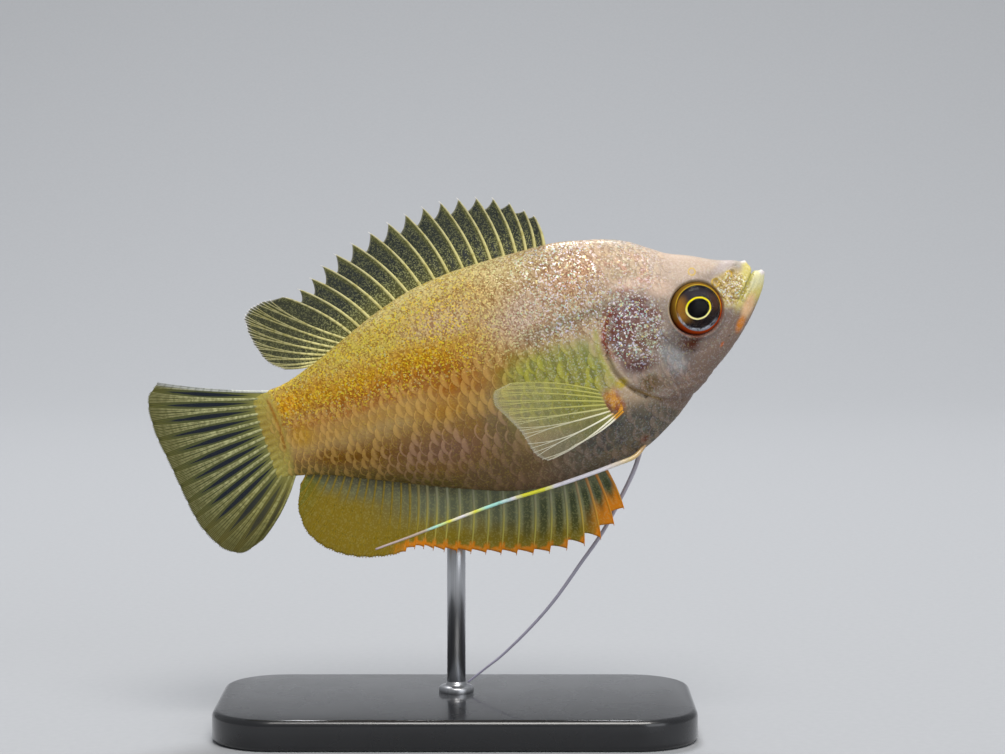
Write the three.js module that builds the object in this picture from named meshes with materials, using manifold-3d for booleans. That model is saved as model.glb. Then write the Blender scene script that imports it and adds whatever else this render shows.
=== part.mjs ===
// A female honey dwarf gourami, life size, swimming with its head up on a small display stand.
// Millimetres, +Z up. The fish faces +X and its right flank faces -Y. The origin lies on the
// underside of the base, midway between the jaw tip and the edge of the tail fin.
//
// The fish is drawn in its own frame and then tilted. There a is the distance behind the jaw tip
// along the body, h the height over the line through jaw tip and tail, and y the distance to the
// fish's left. The body is one skin made whole and parted with thin cuts; each fin is one folded
// sheet whose rays stand out as ridges on both faces.
import * as THREE from "three";
import { mergeVertices } from "three/addons/utils/BufferGeometryUtils.js";
import Module from "manifold-3d";

const wasm = await Module();
wasm.setup();

// Driving sizes
const BODY_LENGTH = 48.6;
const PITCH = THREE.MathUtils.degToRad(18);
const GAP = 0.3;
const SNOUT = new THREE.Vector3(29.6, 0, 44.1);
const RIGHT = -1;
const LEFT = 1;

// Base and rod of the stand
const BASE_LENGTH = 46;
const BASE_WIDTH = 24;
const BASE_HEIGHT = 3;
const BASE_CORNER = 6;
const BASE_BEVEL = 0.6;
const ROD_RADIUS = 0.9;
const ROD_Y = 2.3;
const ROD_SINK = 1.5;

// Smooth curve through [place, value] knots that never overshoots them
function profile(knots) {
  const last = knots.length - 1;
  const rise = [];
  for (let i = 0; i < last; i++) {
    rise.push((knots[i + 1][1] - knots[i][1]) / (knots[i + 1][0] - knots[i][0]));
  }
  const slope = knots.map((_, i) => {
    const before = rise[Math.max(i - 1, 0)];
    const after = rise[Math.min(i, last - 1)];
    return before * after > 0 ? (2 * before * after) / (before + after) : 0;
  });
  return (place) => {
    const x = THREE.MathUtils.clamp(place, knots[0][0], knots[last][0]);
    let i = 0;
    while (i < last - 1 && x > knots[i + 1][0]) i++;
    const span = knots[i + 1][0] - knots[i][0];
    const t = (x - knots[i][0]) / span;
    const near = (1 + 2 * t) * (1 - t) * (1 - t);
    const far = t * t * (3 - 2 * t);
    const leave = t * (1 - t) * (1 - t) * span;
    const arrive = t * t * (t - 1) * span;
    return near * knots[i][1] + far * knots[i + 1][1] + leave * slope[i] + arrive * slope[i + 1];
  };
}

// Body outline from the side, its half width from above, and where each section is widest
const back = profile([
  [0, 0.05], [0.26, 0.34], [0.8, 0.32], [1.22, 0.3], [1.34, 1], [1.5, 1.68], [2, 1.78], [2.3, 1.96],
  [4, 2.56], [6.4, 3.78], [8.5, 4.72], [10, 5.76], [12.1, 7.15], [14.8, 8.1], [19.1, 9.02], [27.5, 9.36],
  [31.7, 9.07], [36, 8.05], [40.7, 6.28], [44.2, 4.93], [47.5, 4.02], [49, 3.9],
]);
const belly = profile([
  [0, -0.05], [0.48, -1.16], [1.71, -2.8], [3.22, -4.38], [5.33, -6.14], [9.13, -8.56], [13, -11.2],
  [16.6, -12.8], [20.8, -13.4], [23.5, -13.56], [25.9, -13.4], [28.7, -12.88], [34.1, -10.95],
  [42, -7.45], [46.5, -5.5], [49, -4.8],
]);
const halfWidth = profile([
  [0, 0.12], [0.35, 0.62], [1, 1.02], [2, 1.42], [3.3, 1.88], [5, 2.45], [7.4, 3.08], [10, 3.55],
  [13, 3.9], [17, 4.2], [22, 4.35], [27, 4.2], [32, 3.75], [37, 3.05], [42, 2.2], [46, 1.4], [49, 0.75],
]);
const waist = profile([
  [0, 0], [1.2, -0.5], [3, -1.2], [7, -1.7], [13, -2.5], [20, -2.8], [30, -1.6], [40, -0.5], [49, -0.4],
]);
const backEdge = profile([[0, 1], [5, 0.9], [9, 0.92], [16, 1.1], [40, 1.15], [49, 1]]);
const bellyEdge = profile([[0, 1], [8, 1.05], [15, 1.1], [22, 1.3], [44, 1.25], [49, 1]]);
const FLANK = 0.92;

// Height and half width of the skin at a section; grow moves the whole skin outwards
function section(a, grow) {
  const middle = waist(a);
  return {
    middle,
    up: back(a) + grow - middle,
    down: middle - belly(a) + grow,
    half: halfWidth(a) + grow,
  };
}

// Skin point at distance a, turned from the back (0) by the right flank to the belly (half a turn)
function skinPoint(a, turn, grow = 0) {
  const s = section(a, grow);
  const across = Math.sin(turn * 2 * Math.PI);
  const along = Math.cos(turn * 2 * Math.PI);
  const edge = along > 0 ? backEdge(a) : bellyEdge(a);
  const y = RIGHT * Math.sign(across) * s.half * Math.abs(across) ** edge;
  const reach = along > 0 ? s.up : -s.down;
  return new THREE.Vector3(-a, y, s.middle + reach * Math.abs(along) ** FLANK);
}

// Half width of the skin at a height
function skinHalf(a, h, grow = 0) {
  const s = section(a, grow);
  const above = h > s.middle;
  const share = Math.abs(h - s.middle) / (above ? s.up : s.down);
  const along = Math.min(share, 1) ** (1 / FLANK);
  return s.half * Math.sqrt(1 - along * along) ** (above ? backEdge(a) : bellyEdge(a));
}

// Solids from vertices and triangles, from three.js geometries, and back again
function solid(points, triangles) {
  const vertProperties = new Float32Array(points.flatMap((p) => [p.x, p.y, p.z]));
  const mesh = new wasm.Mesh({ numProp: 3, vertProperties, triVerts: new Uint32Array(triangles) });
  const made = new wasm.Manifold(mesh);
  if (made.volume() > 0) return made;
  const turned = [];
  for (let i = 0; i < triangles.length; i += 3) turned.push(triangles[i], triangles[i + 2], triangles[i + 1]);
  return solid(points, turned);
}

function solidOf(geometry) {
  const bare = new THREE.BufferGeometry().setAttribute("position", geometry.getAttribute("position"));
  if (geometry.index) bare.setIndex(geometry.index);
  const merged = mergeVertices(bare, 1e-4);
  const place = merged.getAttribute("position");
  const points = [];
  for (let i = 0; i < place.count; i++) points.push(new THREE.Vector3().fromBufferAttribute(place, i));
  return solid(points, [...merged.index.array]);
}

function largest(shape) {
  return shape.decompose().sort((one, other) => other.volume() - one.volume())[0];
}

function meshOf(name, shape, material) {
  const { numProp, numVert, vertProperties, triVerts } = largest(shape).getMesh();
  const place = new Float32Array(numVert * 3);
  for (let i = 0; i < numVert; i++) {
    place.set(vertProperties.subarray(i * numProp, i * numProp + 3), i * 3);
  }
  const geometry = new THREE.BufferGeometry()
    .setAttribute("position", new THREE.BufferAttribute(place, 3))
    .setIndex(new THREE.BufferAttribute(triVerts, 1));
  geometry.computeVertexNormals();
  const mesh = new THREE.Mesh(geometry, material);
  mesh.name = name;
  return mesh;
}

// Closed solid from rings of equally many points, with a flat or pointed end at each side
function loft(rings) {
  const around = rings[0].length;
  const points = rings.flat();
  const triangles = [];
  for (let i = 0; i + 1 < rings.length; i++) {
    for (let j = 0; j < around; j++) {
      const next = (j + 1) % around;
      const here = i * around;
      const there = here + around;
      triangles.push(here + j, there + j, there + next, here + j, there + next, here + next);
    }
  }
  for (const [first, flip] of [[0, false], [(rings.length - 1) * around, true]]) {
    const centre = new THREE.Vector3();
    for (let j = 0; j < around; j++) centre.addScaledVector(points[first + j], 1 / around);
    points.push(centre);
    for (let j = 0; j < around; j++) {
      const pair = [first + j, first + ((j + 1) % around)];
      if (flip) pair.reverse();
      triangles.push(points.length - 1, ...pair);
    }
  }
  return solid(points, triangles);
}

// The whole skin. Sections stand close at the jaws, where the outline turns quickly.
const SECTIONS = [
  0.05, 0.26, 0.7, 1.2, 1.34, 1.5, 2, 2.5, 3.2, 4, 5, 6, 7, 8, 9, 10, 11, 12.2, 13.5, 15, 16.5, 18, 19.5,
  21.2, 23, 25, 27, 29, 31, 33, 35, 37, 39, 41, 43, 45, 47, BODY_LENGTH,
];
const AROUND = 36;

function skinSolid(grow = 0) {
  return loft(SECTIONS.map((a) => Array.from({ length: AROUND }, (_, j) => skinPoint(a, j / AROUND, grow))));
}

// The part of it round the gills, plainer, for what lies out of sight under the gill covers
function gillSolid(grow) {
  const sections = SECTIONS.filter((a, i) => a > 8 && a < 20 && i % 2 === 0);
  const around = AROUND / 2;
  return loft(sections.map((a) => Array.from({ length: around }, (_, j) => skinPoint(a, j / around, grow))));
}

// Tube of varying radius along points, its ends closed
function tube(points, radiusAt, sides) {
  const curve = new THREE.CatmullRomCurve3(points, false, "centripetal");
  const steps = (points.length - 1) * 2;
  const frames = curve.computeFrenetFrames(steps, false);
  const rings = [];
  for (let i = 0; i <= steps; i++) {
    const centre = curve.getPointAt(i / steps);
    const radius = radiusAt(i / steps);
    rings.push(
      Array.from({ length: sides }, (_, j) => {
        const angle = (j / sides) * 2 * Math.PI;
        return centre
          .clone()
          .addScaledVector(frames.normals[i], radius * Math.cos(angle))
          .addScaledVector(frames.binormals[i], radius * Math.sin(angle));
      }),
    );
  }
  return loft(rings);
}

// Flat region of the side view, [a, h] corners, made a block right through the fish
const BLOCK = 10;
function sideBlock(corners) {
  const shape = new THREE.Shape(corners.map(([a, h]) => new THREE.Vector2(-a, h)));
  const block = new THREE.ExtrudeGeometry(shape, { depth: 2 * BLOCK, bevelEnabled: false });
  block.rotateX(Math.PI / 2).translate(0, BLOCK, 0);
  return solidOf(block);
}

// Thin cut that follows a line of the side view
function sideCut(line, width = GAP) {
  const ends = line.map((_, i) => {
    const before = line[Math.max(i - 1, 0)];
    const after = line[Math.min(i + 1, line.length - 1)];
    const length = Math.hypot(after[0] - before[0], after[1] - before[1]);
    return [-(after[1] - before[1]) / length, (after[0] - before[0]) / length];
  });
  const side = (sign) =>
    line.map(([a, h], i) => [a + (sign * width * ends[i][0]) / 2, h + (sign * width * ends[i][1]) / 2]);
  return sideBlock([...side(1), ...side(-1).reverse()]);
}

// Points of a smooth line through a few places of the side view
function sideCurve(places, steps) {
  const curve = new THREE.SplineCurve(places.map(([a, h]) => new THREE.Vector2(a, h)));
  return curve.getPoints(steps).map((p) => [p.x, p.y]);
}

// Mouth: the line of the gape from its front to its corner, with a lip along each side
const GAPE_FRONT = [1.2, 0.3];
const GAPE_CORNER = [3.3, -1.75];
const UPPER_LIP = { front: [1.52, 1.1], corner: [3.55, -1.5], radius: 0.3 };
const LOWER_LIP = { front: [0.46, 0.08], corner: [3, -1.9], radius: 0.32 };
const LIP_STEPS = 8;
const LIP_CORNER = 0.4;
const LIP_ROUND = 0.55;

function lip({ front, corner, radius }) {
  const points = [];
  for (let i = 0; i <= LIP_STEPS; i++) {
    const turn = (i / LIP_STEPS - 0.5) * Math.PI;
    const t = 1 - Math.cos(turn);
    const a = THREE.MathUtils.lerp(front[0], corner[0], t);
    const h = THREE.MathUtils.lerp(front[1], corner[1], t);
    const aside = Math.sign(turn) * Math.abs(Math.sin(turn)) ** LIP_ROUND;
    points.push(new THREE.Vector3(-a, aside * skinHalf(a, h), h));
  }
  return tube(points, (t) => radius * (LIP_CORNER + (1 - LIP_CORNER) * Math.sin(t * Math.PI)), 6);
}

// Eyes: flattened balls that look a little forward, in sockets that leave a gap all round
const EYE = { a: 7.45, h: -1.13, y: 2.1, radius: 2.5, depth: 1.55 };
const EYE_FORWARD = THREE.MathUtils.degToRad(12);

function eyeBall(side, grow = 0) {
  const ball = new THREE.SphereGeometry(1, 20, 12);
  ball.rotateX(Math.PI / 2);
  ball.scale(EYE.radius + grow, EYE.depth + grow, EYE.radius + grow);
  ball.rotateZ(-side * EYE_FORWARD);
  ball.translate(-EYE.a, side * EYE.y, EYE.h);
  return solidOf(ball);
}

// Rim of the eye socket: a ring laid on the skin round the ball
const RIM_RADIUS = 2.85;
const RIM_THICK = 0.26;

function eyeRim(side) {
  const ring = new THREE.TorusGeometry(RIM_RADIUS, RIM_THICK, 6, 20);
  ring.rotateX(Math.PI / 2).translate(-EYE.a, 0, EYE.h);
  const place = ring.getAttribute("position");
  for (let i = 0; i < place.count; i++) {
    place.setY(i, place.getY(i) + side * skinHalf(-place.getX(i), place.getZ(i)));
  }
  return solidOf(ring);
}

// Nostrils: two pits on each side of the snout
const NOSTRILS = [
  { a: 3.1, h: 1.0, radius: 0.22 },
  { a: 4.85, h: 0.7, radius: 0.28 },
];
const NOSTRIL_DEPTH = 0.5;

function nostril({ a, h, radius }, side) {
  const pit = new THREE.CylinderGeometry(radius, radius * 0.7, NOSTRIL_DEPTH * 2, 8);
  pit.rotateX((side * Math.PI) / 4).translate(-a, side * skinHalf(a, h), h);
  return solidOf(pit);
}

// Gill covers: plates let into the sides of the head, up to the gill opening behind them
const COVER_THICK = 0.7;
const COVER_RISE = 0.12;
const COVER_TOP = 1.4;
const COVER_FOOT = 11.5;
const GILL_OPENING = [
  [10, 7.6], [10.7, 5.6], [12.8, 3.5], [14.7, 1.5], [15.9, -0.1], [16.6, -1.5], [16.8, -3], [16.5, -4.6],
  [15.7, -6.1], [14.6, -7.4], [13.2, -8.3], [11.6, -8.8], [10.2, -8.95], [8.9, -9.05], [8.2, -9.4],
];
const COVER_FRONT = [
  [14.7, 1.5], [13.3, 2], [11.9, 1.75], [11.15, 0.5], [11.4, -1.3], [11.95, -3], [12.15, -5], [11.95, -6.6],
  [11.65, -7.9], [11.5, -9],
];

// Cuts that part the head from the trunk, the lower jaw from the head and the tail from the trunk
const JAW_LINE = [[0.6, 1.6], GAPE_FRONT, [2.1, -0.6], GAPE_CORNER, [3.9, -3.4], [4.5, -4.8], [5.1, -6.3]];
const TAIL_CUT = [[42.6, 8], [43.2, 4], [43.4, 0], [43.2, -4], [42.6, -9]];
const gillLine = sideCurve(GILL_OPENING, 26);
const coverLine = sideCurve(COVER_FRONT, 16);

function bodyPieces() {
  let body = skinSolid().add(lip(UPPER_LIP)).add(lip(LOWER_LIP));
  const coverRear = gillLine.filter(([a, h]) => h < COVER_TOP && a > COVER_FOOT).reverse();
  const coverBlock = sideBlock([...coverLine, ...coverRear]);
  body = body.add(skinSolid(COVER_RISE).intersect(coverBlock));
  for (const side of [RIGHT, LEFT]) {
    body = body.add(eyeRim(side)).subtract(eyeBall(side, GAP));
    for (const place of NOSTRILS) body = body.subtract(nostril(place, side));
  }
  body = body.subtract(sideCut(JAW_LINE));
  body = body.subtract(sideCut(sideCurve(TAIL_CUT, 8)));
  body = body.subtract(sideCut(gillLine));
  const under = gillSolid(-COVER_THICK);
  const core = gillSolid(-COVER_THICK - GAP);
  body = body.subtract(under.subtract(core).intersect(coverBlock));
  body = body.subtract(sideCut(coverLine).subtract(core));
  return body.decompose().filter((piece) => piece.volume() > 1);
}

// Piece of the body that holds a place
const PROBE = 0.15;

function pieceAt(pieces, a, y, h) {
  const probe = solidOf(new THREE.SphereGeometry(PROBE, 6, 4).translate(-a, y, h));
  return pieces.find((piece) => piece.intersect(probe).volume() > 0);
}

// A folded fin. Rays are numbered from the front, and base, tip and sway take any place between
// two rays too. Each column of the sheet runs along one such place, up to its own share of the ray.
const MEMBRANE = 0.25;
const RAY_THICK = 0.42;
const RAY_TIP = 0.28;
const SPINE_TIP = 0.12;
const SPINE_POINT = 0.95;
const FORK_START = 0.55;

// Places of columns beside a ray, in ray steps, and how far the skin reaches there. Behind a spine
// the skin starts near the tip and sinks to the notch in front of the next one.
const SPINE_FOOT = 0.17;
const SOFT_FOOT = 0.2;
const FORK_FOOT = 0.3;
const TORN_PLACE = 0.55;
const TORN_NEAR = 0.7;
const TORN_FAR = 0.25;
const LAST_DIP = 0.97;
const SOFT_REACH = 0.99;
const FORK_REACH = 0.995;

function finColumns(spines, softRays, notch, forked = false) {
  const columns = [];
  const rays = spines + softRays;
  for (let ray = 0; ray < rays; ray++) {
    const last = ray === rays - 1;
    if (ray < spines) {
      const dip = ray + 1 < spines ? notch(ray + 1) : LAST_DIP;
      const torn = (share) => THREE.MathUtils.lerp(dip, 1, share);
      if (ray > 0) columns.push({ at: ray - SPINE_FOOT, reach: notch(ray), ridge: 0 });
      columns.push({ at: ray, reach: 1, ridge: 1, pointed: true });
      columns.push({ at: ray + SPINE_FOOT, reach: torn(TORN_NEAR), ridge: 0 });
      if (!last) columns.push({ at: ray + TORN_PLACE, reach: torn(TORN_FAR), ridge: 0 });
    } else if (forked) {
      if (ray > 0) columns.push({ at: ray - FORK_FOOT, reach: FORK_REACH, ridge: 0 });
      columns.push({ at: ray - SPINE_FOOT, reach: 1, ridge: 1 });
      columns.push({ at: ray, reach: FORK_REACH, ridge: 1, splits: true });
      columns.push({ at: ray + SPINE_FOOT, reach: 1, ridge: 1 });
      if (!last) columns.push({ at: ray + FORK_FOOT, reach: FORK_REACH, ridge: 0 });
    } else {
      columns.push({ at: ray - SOFT_FOOT, reach: SOFT_REACH, ridge: 0 });
      columns.push({ at: ray, reach: 1, ridge: 1 });
      columns.push({ at: ray + SOFT_FOOT, reach: SOFT_REACH, ridge: 0 });
    }
  }
  return columns;
}

// Half thickness of a column at a share of its length
function finHalf(column, v) {
  if (!column.ridge || (column.splits && v > FORK_START)) return MEMBRANE;
  const end = column.pointed && v > SPINE_POINT ? SPINE_TIP : RAY_TIP;
  return THREE.MathUtils.lerp(RAY_THICK, end, v);
}

function finSheet({ columns, rows, base, tip, bow, sway, place }) {
  const points = [];
  for (const face of [1, -1]) {
    for (const column of columns) {
      const from = base(column.at);
      const to = tip(column.at);
      const lean = bow(column.at);
      for (let j = 0; j <= rows; j++) {
        const v = (j / rows) * column.reach;
        const arch = 4 * v * (1 - v) * lean;
        const a = THREE.MathUtils.lerp(from[0], to[0], v) + arch * (to[1] - from[1]);
        const h = THREE.MathUtils.lerp(from[1], to[1], v) - arch * (to[0] - from[0]);
        const half = finHalf(column, j / rows);
        points.push(place(a, h, sway(a, h, v), face * half));
      }
    }
  }
  const across = rows + 1;
  const faceSize = columns.length * across;
  const triangles = [];
  const quad = (p, q, r, s) => triangles.push(p, q, r, p, r, s);
  for (let i = 0; i + 1 < columns.length; i++) {
    for (let j = 0; j < rows; j++) {
      const p = i * across + j;
      quad(p, p + across, p + across + 1, p + 1);
      triangles.push(p + faceSize, p + faceSize + across + 1, p + faceSize + across);
      triangles.push(p + faceSize, p + faceSize + 1, p + faceSize + across + 1);
    }
    for (const [j, out] of [[0, false], [rows, true]]) {
      const p = i * across + j;
      if (out) quad(p, p + across, p + across + faceSize, p + faceSize);
      else quad(p, p + faceSize, p + across + faceSize, p + across);
    }
  }
  for (const [i, out] of [[0, true], [columns.length - 1, false]]) {
    for (let j = 0; j < rows; j++) {
      const p = i * across + j;
      if (out) quad(p, p + 1, p + 1 + faceSize, p + faceSize);
      else quad(p, p + faceSize, p + 1 + faceSize, p + 1);
    }
  }
  return solid(points, triangles);
}

// Fins stand upright, with a small sway towards their edge
const upright = (a, h, aside, half) => new THREE.Vector3(-a, aside + half, h);
const wave = (size, start, length) => (a, h, v) => size * v * v * Math.sin((a - start) / length);

// Dorsal fin: 17 spines, free at their tips, then 8 soft rays in a rounded lobe
const DORSAL_SPINES = 17;
const DORSAL_SOFT = 8;
const DORSAL_NOTCH = 0.76;
const dorsalBase = profile([[0, 19.3], [3, 22.1], [6, 26], [11, 33.2], [16, 39.6], [24, 44.3]]);
const dorsalTipA = profile([
  [0, 19.4], [1, 20.15], [3, 22.65], [6, 27.6], [9, 33], [12, 38.7], [16, 44.6], [17, 46.6],
  [18, 47.95], [19, 48.8], [20, 48.85], [22, 48.3], [24, 46.7],
]);
const dorsalTipH = profile([
  [0, 12], [1, 12.8], [3, 14.85], [6, 16.05], [7, 16.1], [9, 15.7], [12, 14.4], [16, 12], [17, 12.15],
  [18, 11.9], [19, 11.1], [21, 8.5], [23, 6.1], [24, 5.4],
]);

function dorsalFin() {
  return finSheet({
    columns: finColumns(DORSAL_SPINES, DORSAL_SOFT, () => DORSAL_NOTCH),
    rows: 4,
    base: (ray) => [dorsalBase(ray), back(dorsalBase(ray)) + GAP],
    tip: (ray) => [dorsalTipA(ray), dorsalTipH(ray)],
    bow: (ray) => (ray < DORSAL_SPINES ? -0.05 : 0.03),
    sway: wave(0.5, 20, 5),
    place: upright,
  });
}

// Anal fin: 17 spines and 13 soft rays under the rear half of the body
const ANAL_SPINES = 17;
const ANAL_SOFT = 13;
const analBase = profile([[0, 20.3], [4, 24.6], [8, 30.4], [12, 35.4], [16, 38.7], [29, 47.9]]);
const analTipA = profile([
  [0, 19.8], [1, 21.2], [2, 22.85], [3, 24.55], [5, 28], [8, 32.5], [12, 37.6], [16, 41.1], [18, 43.3],
  [20, 45.6], [22, 47.5], [24, 48.95], [26, 49.7], [27, 49.7], [29, 48.7],
]);
const analTipH = profile([
  [0, -17.6], [1, -18.85], [2, -19.8], [3, -19.9], [5, -19.58], [8, -18.25], [12, -16.22], [15, -15.05],
  [17, -14.95], [19, -14.5], [21, -13.6], [23, -12.3], [25, -10.6], [27, -8.3], [29, -5.7],
]);
const analNotch = profile([[0, 0.73], [3, 0.8], [6, 0.9], [16, 0.94]]);

function analFin() {
  return finSheet({
    columns: finColumns(ANAL_SPINES, ANAL_SOFT, analNotch),
    rows: 4,
    base: (ray) => [analBase(ray), belly(analBase(ray)) - GAP],
    tip: (ray) => [analTipA(ray), analTipH(ray)],
    bow: () => 0.03,
    sway: wave(0.45, 22, 4.5),
    place: upright,
  });
}

// Tail fin: 14 forked rays fanned from the end of the tail, its lower half swung to the left
const TAIL_RAYS = 14;
const tailTipA = profile([
  [0, 58.7], [1, 60], [2, 60.45], [3, 60.54], [5, 60.2], [8, 59.7], [9, 59.4], [10, 58.8], [11, 57.85],
  [12, 56.2], [13, 54.1],
]);
const tailTipH = profile([
  [0, 7.85], [1, 6.8], [3, 3.45], [5, 0.1], [8, -4.9], [10, -8.1], [11, -9.6], [12, -10.45], [13, -9.85],
]);
const tailBow = profile([[0, 0.02], [4, 0], [9, 0], [13, 0.055]]);
const TAIL_TOP = 3.75;
const TAIL_BOTTOM = -4.6;
const TAIL_SWING = 0.75;
const TAIL_TWIST = 0.08;

function tailFin() {
  return finSheet({
    columns: finColumns(0, TAIL_RAYS, null, true),
    rows: 5,
    base: (ray) => [BODY_LENGTH + GAP, THREE.MathUtils.lerp(TAIL_TOP, TAIL_BOTTOM, ray / (TAIL_RAYS - 1))],
    tip: (ray) => [tailTipA(ray), tailTipH(ray)],
    bow: tailBow,
    sway: (a, h, v) => v * v * (TAIL_SWING - TAIL_TWIST * h),
    place: upright,
  });
}

// Pectoral fins: 10 soft rays fanned from a fleshy root behind the gill opening, held out aslant
const PECTORAL_RAYS = 10;
const pectoralTipA = profile([
  [0, 26.4], [1.5, 28], [3, 28.4], [4.5, 27.7], [6, 26.8], [7.2, 26.2], [8, 25], [9, 22.4],
]);
const pectoralTipH = profile([
  [0, -2.1], [1.5, -2.35], [3, -3.4], [4.5, -4.95], [6, -6.8], [7.2, -9.1], [8, -10.15], [9, -9.6],
]);
const PECTORAL_ROOT = { a: 17.85, h: -7.35, length: 0.75, height: 1.65, depth: 0.75 };
const PECTORAL_TOP = -6.2;
const PECTORAL_BOTTOM = -8.6;
const PECTORAL_BOW = 0.05;
const PECTORAL_FLARE = 0.5;
const PECTORAL_CURVE = 0.012;
const PECTORAL_TILT = 0.06;

function pectoralFin(side, clear) {
  const rootHalf = skinHalf(PECTORAL_ROOT.a, PECTORAL_ROOT.h);
  const out = (behind) => PECTORAL_FLARE * Math.max(behind, 0) - PECTORAL_CURVE * behind ** 2;
  const down = (ray) => THREE.MathUtils.lerp(PECTORAL_TOP, PECTORAL_BOTTOM, ray / (PECTORAL_RAYS - 1));
  const sheet = finSheet({
    columns: finColumns(0, PECTORAL_RAYS, null),
    rows: 4,
    base: (ray) => [PECTORAL_ROOT.a, down(ray)],
    tip: (ray) => [pectoralTipA(ray), pectoralTipH(ray)],
    bow: (ray) => PECTORAL_BOW * ((2 * ray) / (PECTORAL_RAYS - 1) - 1),
    sway: (a, h) => side * (rootHalf + out(a - PECTORAL_ROOT.a) - PECTORAL_TILT * (h - PECTORAL_ROOT.h)),
    place: upright,
  });
  const root = new THREE.SphereGeometry(1, 10, 8);
  root.scale(PECTORAL_ROOT.length, PECTORAL_ROOT.depth, PECTORAL_ROOT.height);
  root.translate(-PECTORAL_ROOT.a, side * rootHalf, PECTORAL_ROOT.h);
  return sheet.add(solidOf(root)).subtract(clear);
}

// Feelers: the belly fins, each one long thread from a root on the breast
const FEELER_RADIUS = 0.29;
const FEELER_TIP = 0.2;
const RIGHT_FEELER = [
  [16.3, -12.4, 0.85], [17.4, -12.95, 1.35], [19.2, -13.05, 1.6], [22, -13.15, 1.8], [25.85, -13.2, 1.9],
  [30.85, -13.1, 2], [35.95, -13.3, 2.15], [40.05, -13.5, 2.4], [43.55, -13.58, 2.8],
];
const LEFT_FEELER = [
  [16.3, -12.4, 0.85], [17.6, -14.3, 1.1], [19.45, -16.35, 1.45], [22.4, -19.3, 1.95], [25.45, -21.7, 2.4],
  [28.9, -24.35, 2.9], [32.1, -26.35, 3.25], [35.5, -28.1, 3.6], [37.3, -28.8, 3.75], [39.6, -29.7, 4],
];

function feeler(route, side, clear) {
  const points = route.map(([a, h, out]) => new THREE.Vector3(-a, side * out, h));
  const radius = (t) => THREE.MathUtils.lerp(FEELER_RADIUS, FEELER_TIP, t);
  return tube(points, radius, 8).subtract(clear);
}

// Stand: a flat base with rounded corners, and one rod up to the belly on the far side of the fin
function standBase() {
  const x = BASE_LENGTH / 2 - BASE_BEVEL;
  const y = BASE_WIDTH / 2 - BASE_BEVEL;
  const r = BASE_CORNER;
  const outline = new THREE.Shape();
  outline.moveTo(x - r, -y).absarc(x - r, r - y, r, -Math.PI / 2, 0);
  outline.absarc(x - r, y - r, r, 0, Math.PI / 2);
  outline.absarc(r - x, y - r, r, Math.PI / 2, Math.PI);
  outline.absarc(r - x, r - y, r, Math.PI, 1.5 * Math.PI);
  const plate = new THREE.ExtrudeGeometry(outline, {
    depth: BASE_HEIGHT - 2 * BASE_BEVEL,
    bevelSize: BASE_BEVEL,
    bevelThickness: BASE_BEVEL,
    bevelSegments: 1,
    curveSegments: 6,
  });
  plate.translate(0, 0, BASE_BEVEL);
  const hole = new THREE.CylinderGeometry(ROD_RADIUS + GAP, ROD_RADIUS + GAP, 2 * ROD_SINK, 20);
  hole.rotateX(Math.PI / 2).translate(0, ROD_Y, BASE_HEIGHT);
  return solidOf(plate).subtract(solidOf(hole));
}

function standRod(clear) {
  const foot = BASE_HEIGHT - ROD_SINK + GAP;
  const rod = new THREE.CylinderGeometry(ROD_RADIUS, ROD_RADIUS, SNOUT.z - foot, 20);
  rod.rotateX(Math.PI / 2).translate(0, ROD_Y, (SNOUT.z + foot) / 2);
  return solidOf(rod).subtract(clear).decompose().sort((one, other) => bottom(one) - bottom(other))[0];
}

function bottom(shape) {
  return shape.boundingBox().min[2];
}

// Materials
const finish = (color, roughness, more = {}) => new THREE.MeshStandardMaterial({ color, roughness, ...more });
const pearl = finish(0xb9a48c, 0.4);
const gold = finish(0xc99a3c, 0.45);
const amber = finish(0xc08a2e, 0.45);
const fin = finish(0x8d8a45, 0.5);
const thread = finish(0xd8d0d8, 0.35);
const iris = finish(0x1c1712, 0.1);
const lacquer = finish(0x15161a, 0.3);
const steel = finish(0xb8bbc0, 0.3, { metalness: 1 });

// The fish, drawn along X and tilted head up
const fish = new THREE.Group();
fish.rotation.y = -PITCH;
fish.position.copy(SNOUT);
fish.updateMatrix();

const clearance = skinSolid(GAP);
const pieces = bodyPieces();
const coverY = skinHalf(14, -3) - COVER_THICK / 2;
fish.add(meshOf("head", pieceAt(pieces, 5.6, 0, 1), pearl));
fish.add(meshOf("lower_jaw", pieceAt(pieces, 2.2, 0, -2.2), pearl));
fish.add(meshOf("trunk", pieceAt(pieces, 28, 0, 0), gold));
fish.add(meshOf("tail_stalk", pieceAt(pieces, 46, 0, 0), amber));
fish.add(meshOf("dorsal_fin", dorsalFin(), fin));
fish.add(meshOf("anal_fin", analFin(), fin));
fish.add(meshOf("tail_fin", tailFin(), fin));
for (const [word, side, route] of [["right", RIGHT, RIGHT_FEELER], ["left", LEFT, LEFT_FEELER]]) {
  fish.add(meshOf("gill_cover_" + word, pieceAt(pieces, 14, side * coverY, -3), pearl));
  fish.add(meshOf("eye_" + word, eyeBall(side), iris));
  fish.add(meshOf("pectoral_fin_" + word, pectoralFin(side, clearance), fin));
  fish.add(meshOf("feeler_" + word, feeler(route, side, clearance), thread));
}

const model = new THREE.Group();
model.add(fish);
model.add(meshOf("stand_base", standBase(), lacquer));
model.add(meshOf("stand_rod", standRod(clearance.transform(fish.matrix.elements)), steel));

export default model;
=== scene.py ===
"""Looks of a life-size female honey dwarf gourami on a small display stand.

Metres, +Z up. The fish faces +X, and its right flank faces -Y. It is worked out in its own frame,
in millimetres: a is the distance behind the jaw tip, h the height over the line through jaw tip and
tail, and y the distance to the fish's left. One last step tilts it head up and sets it in place.
"""

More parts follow.
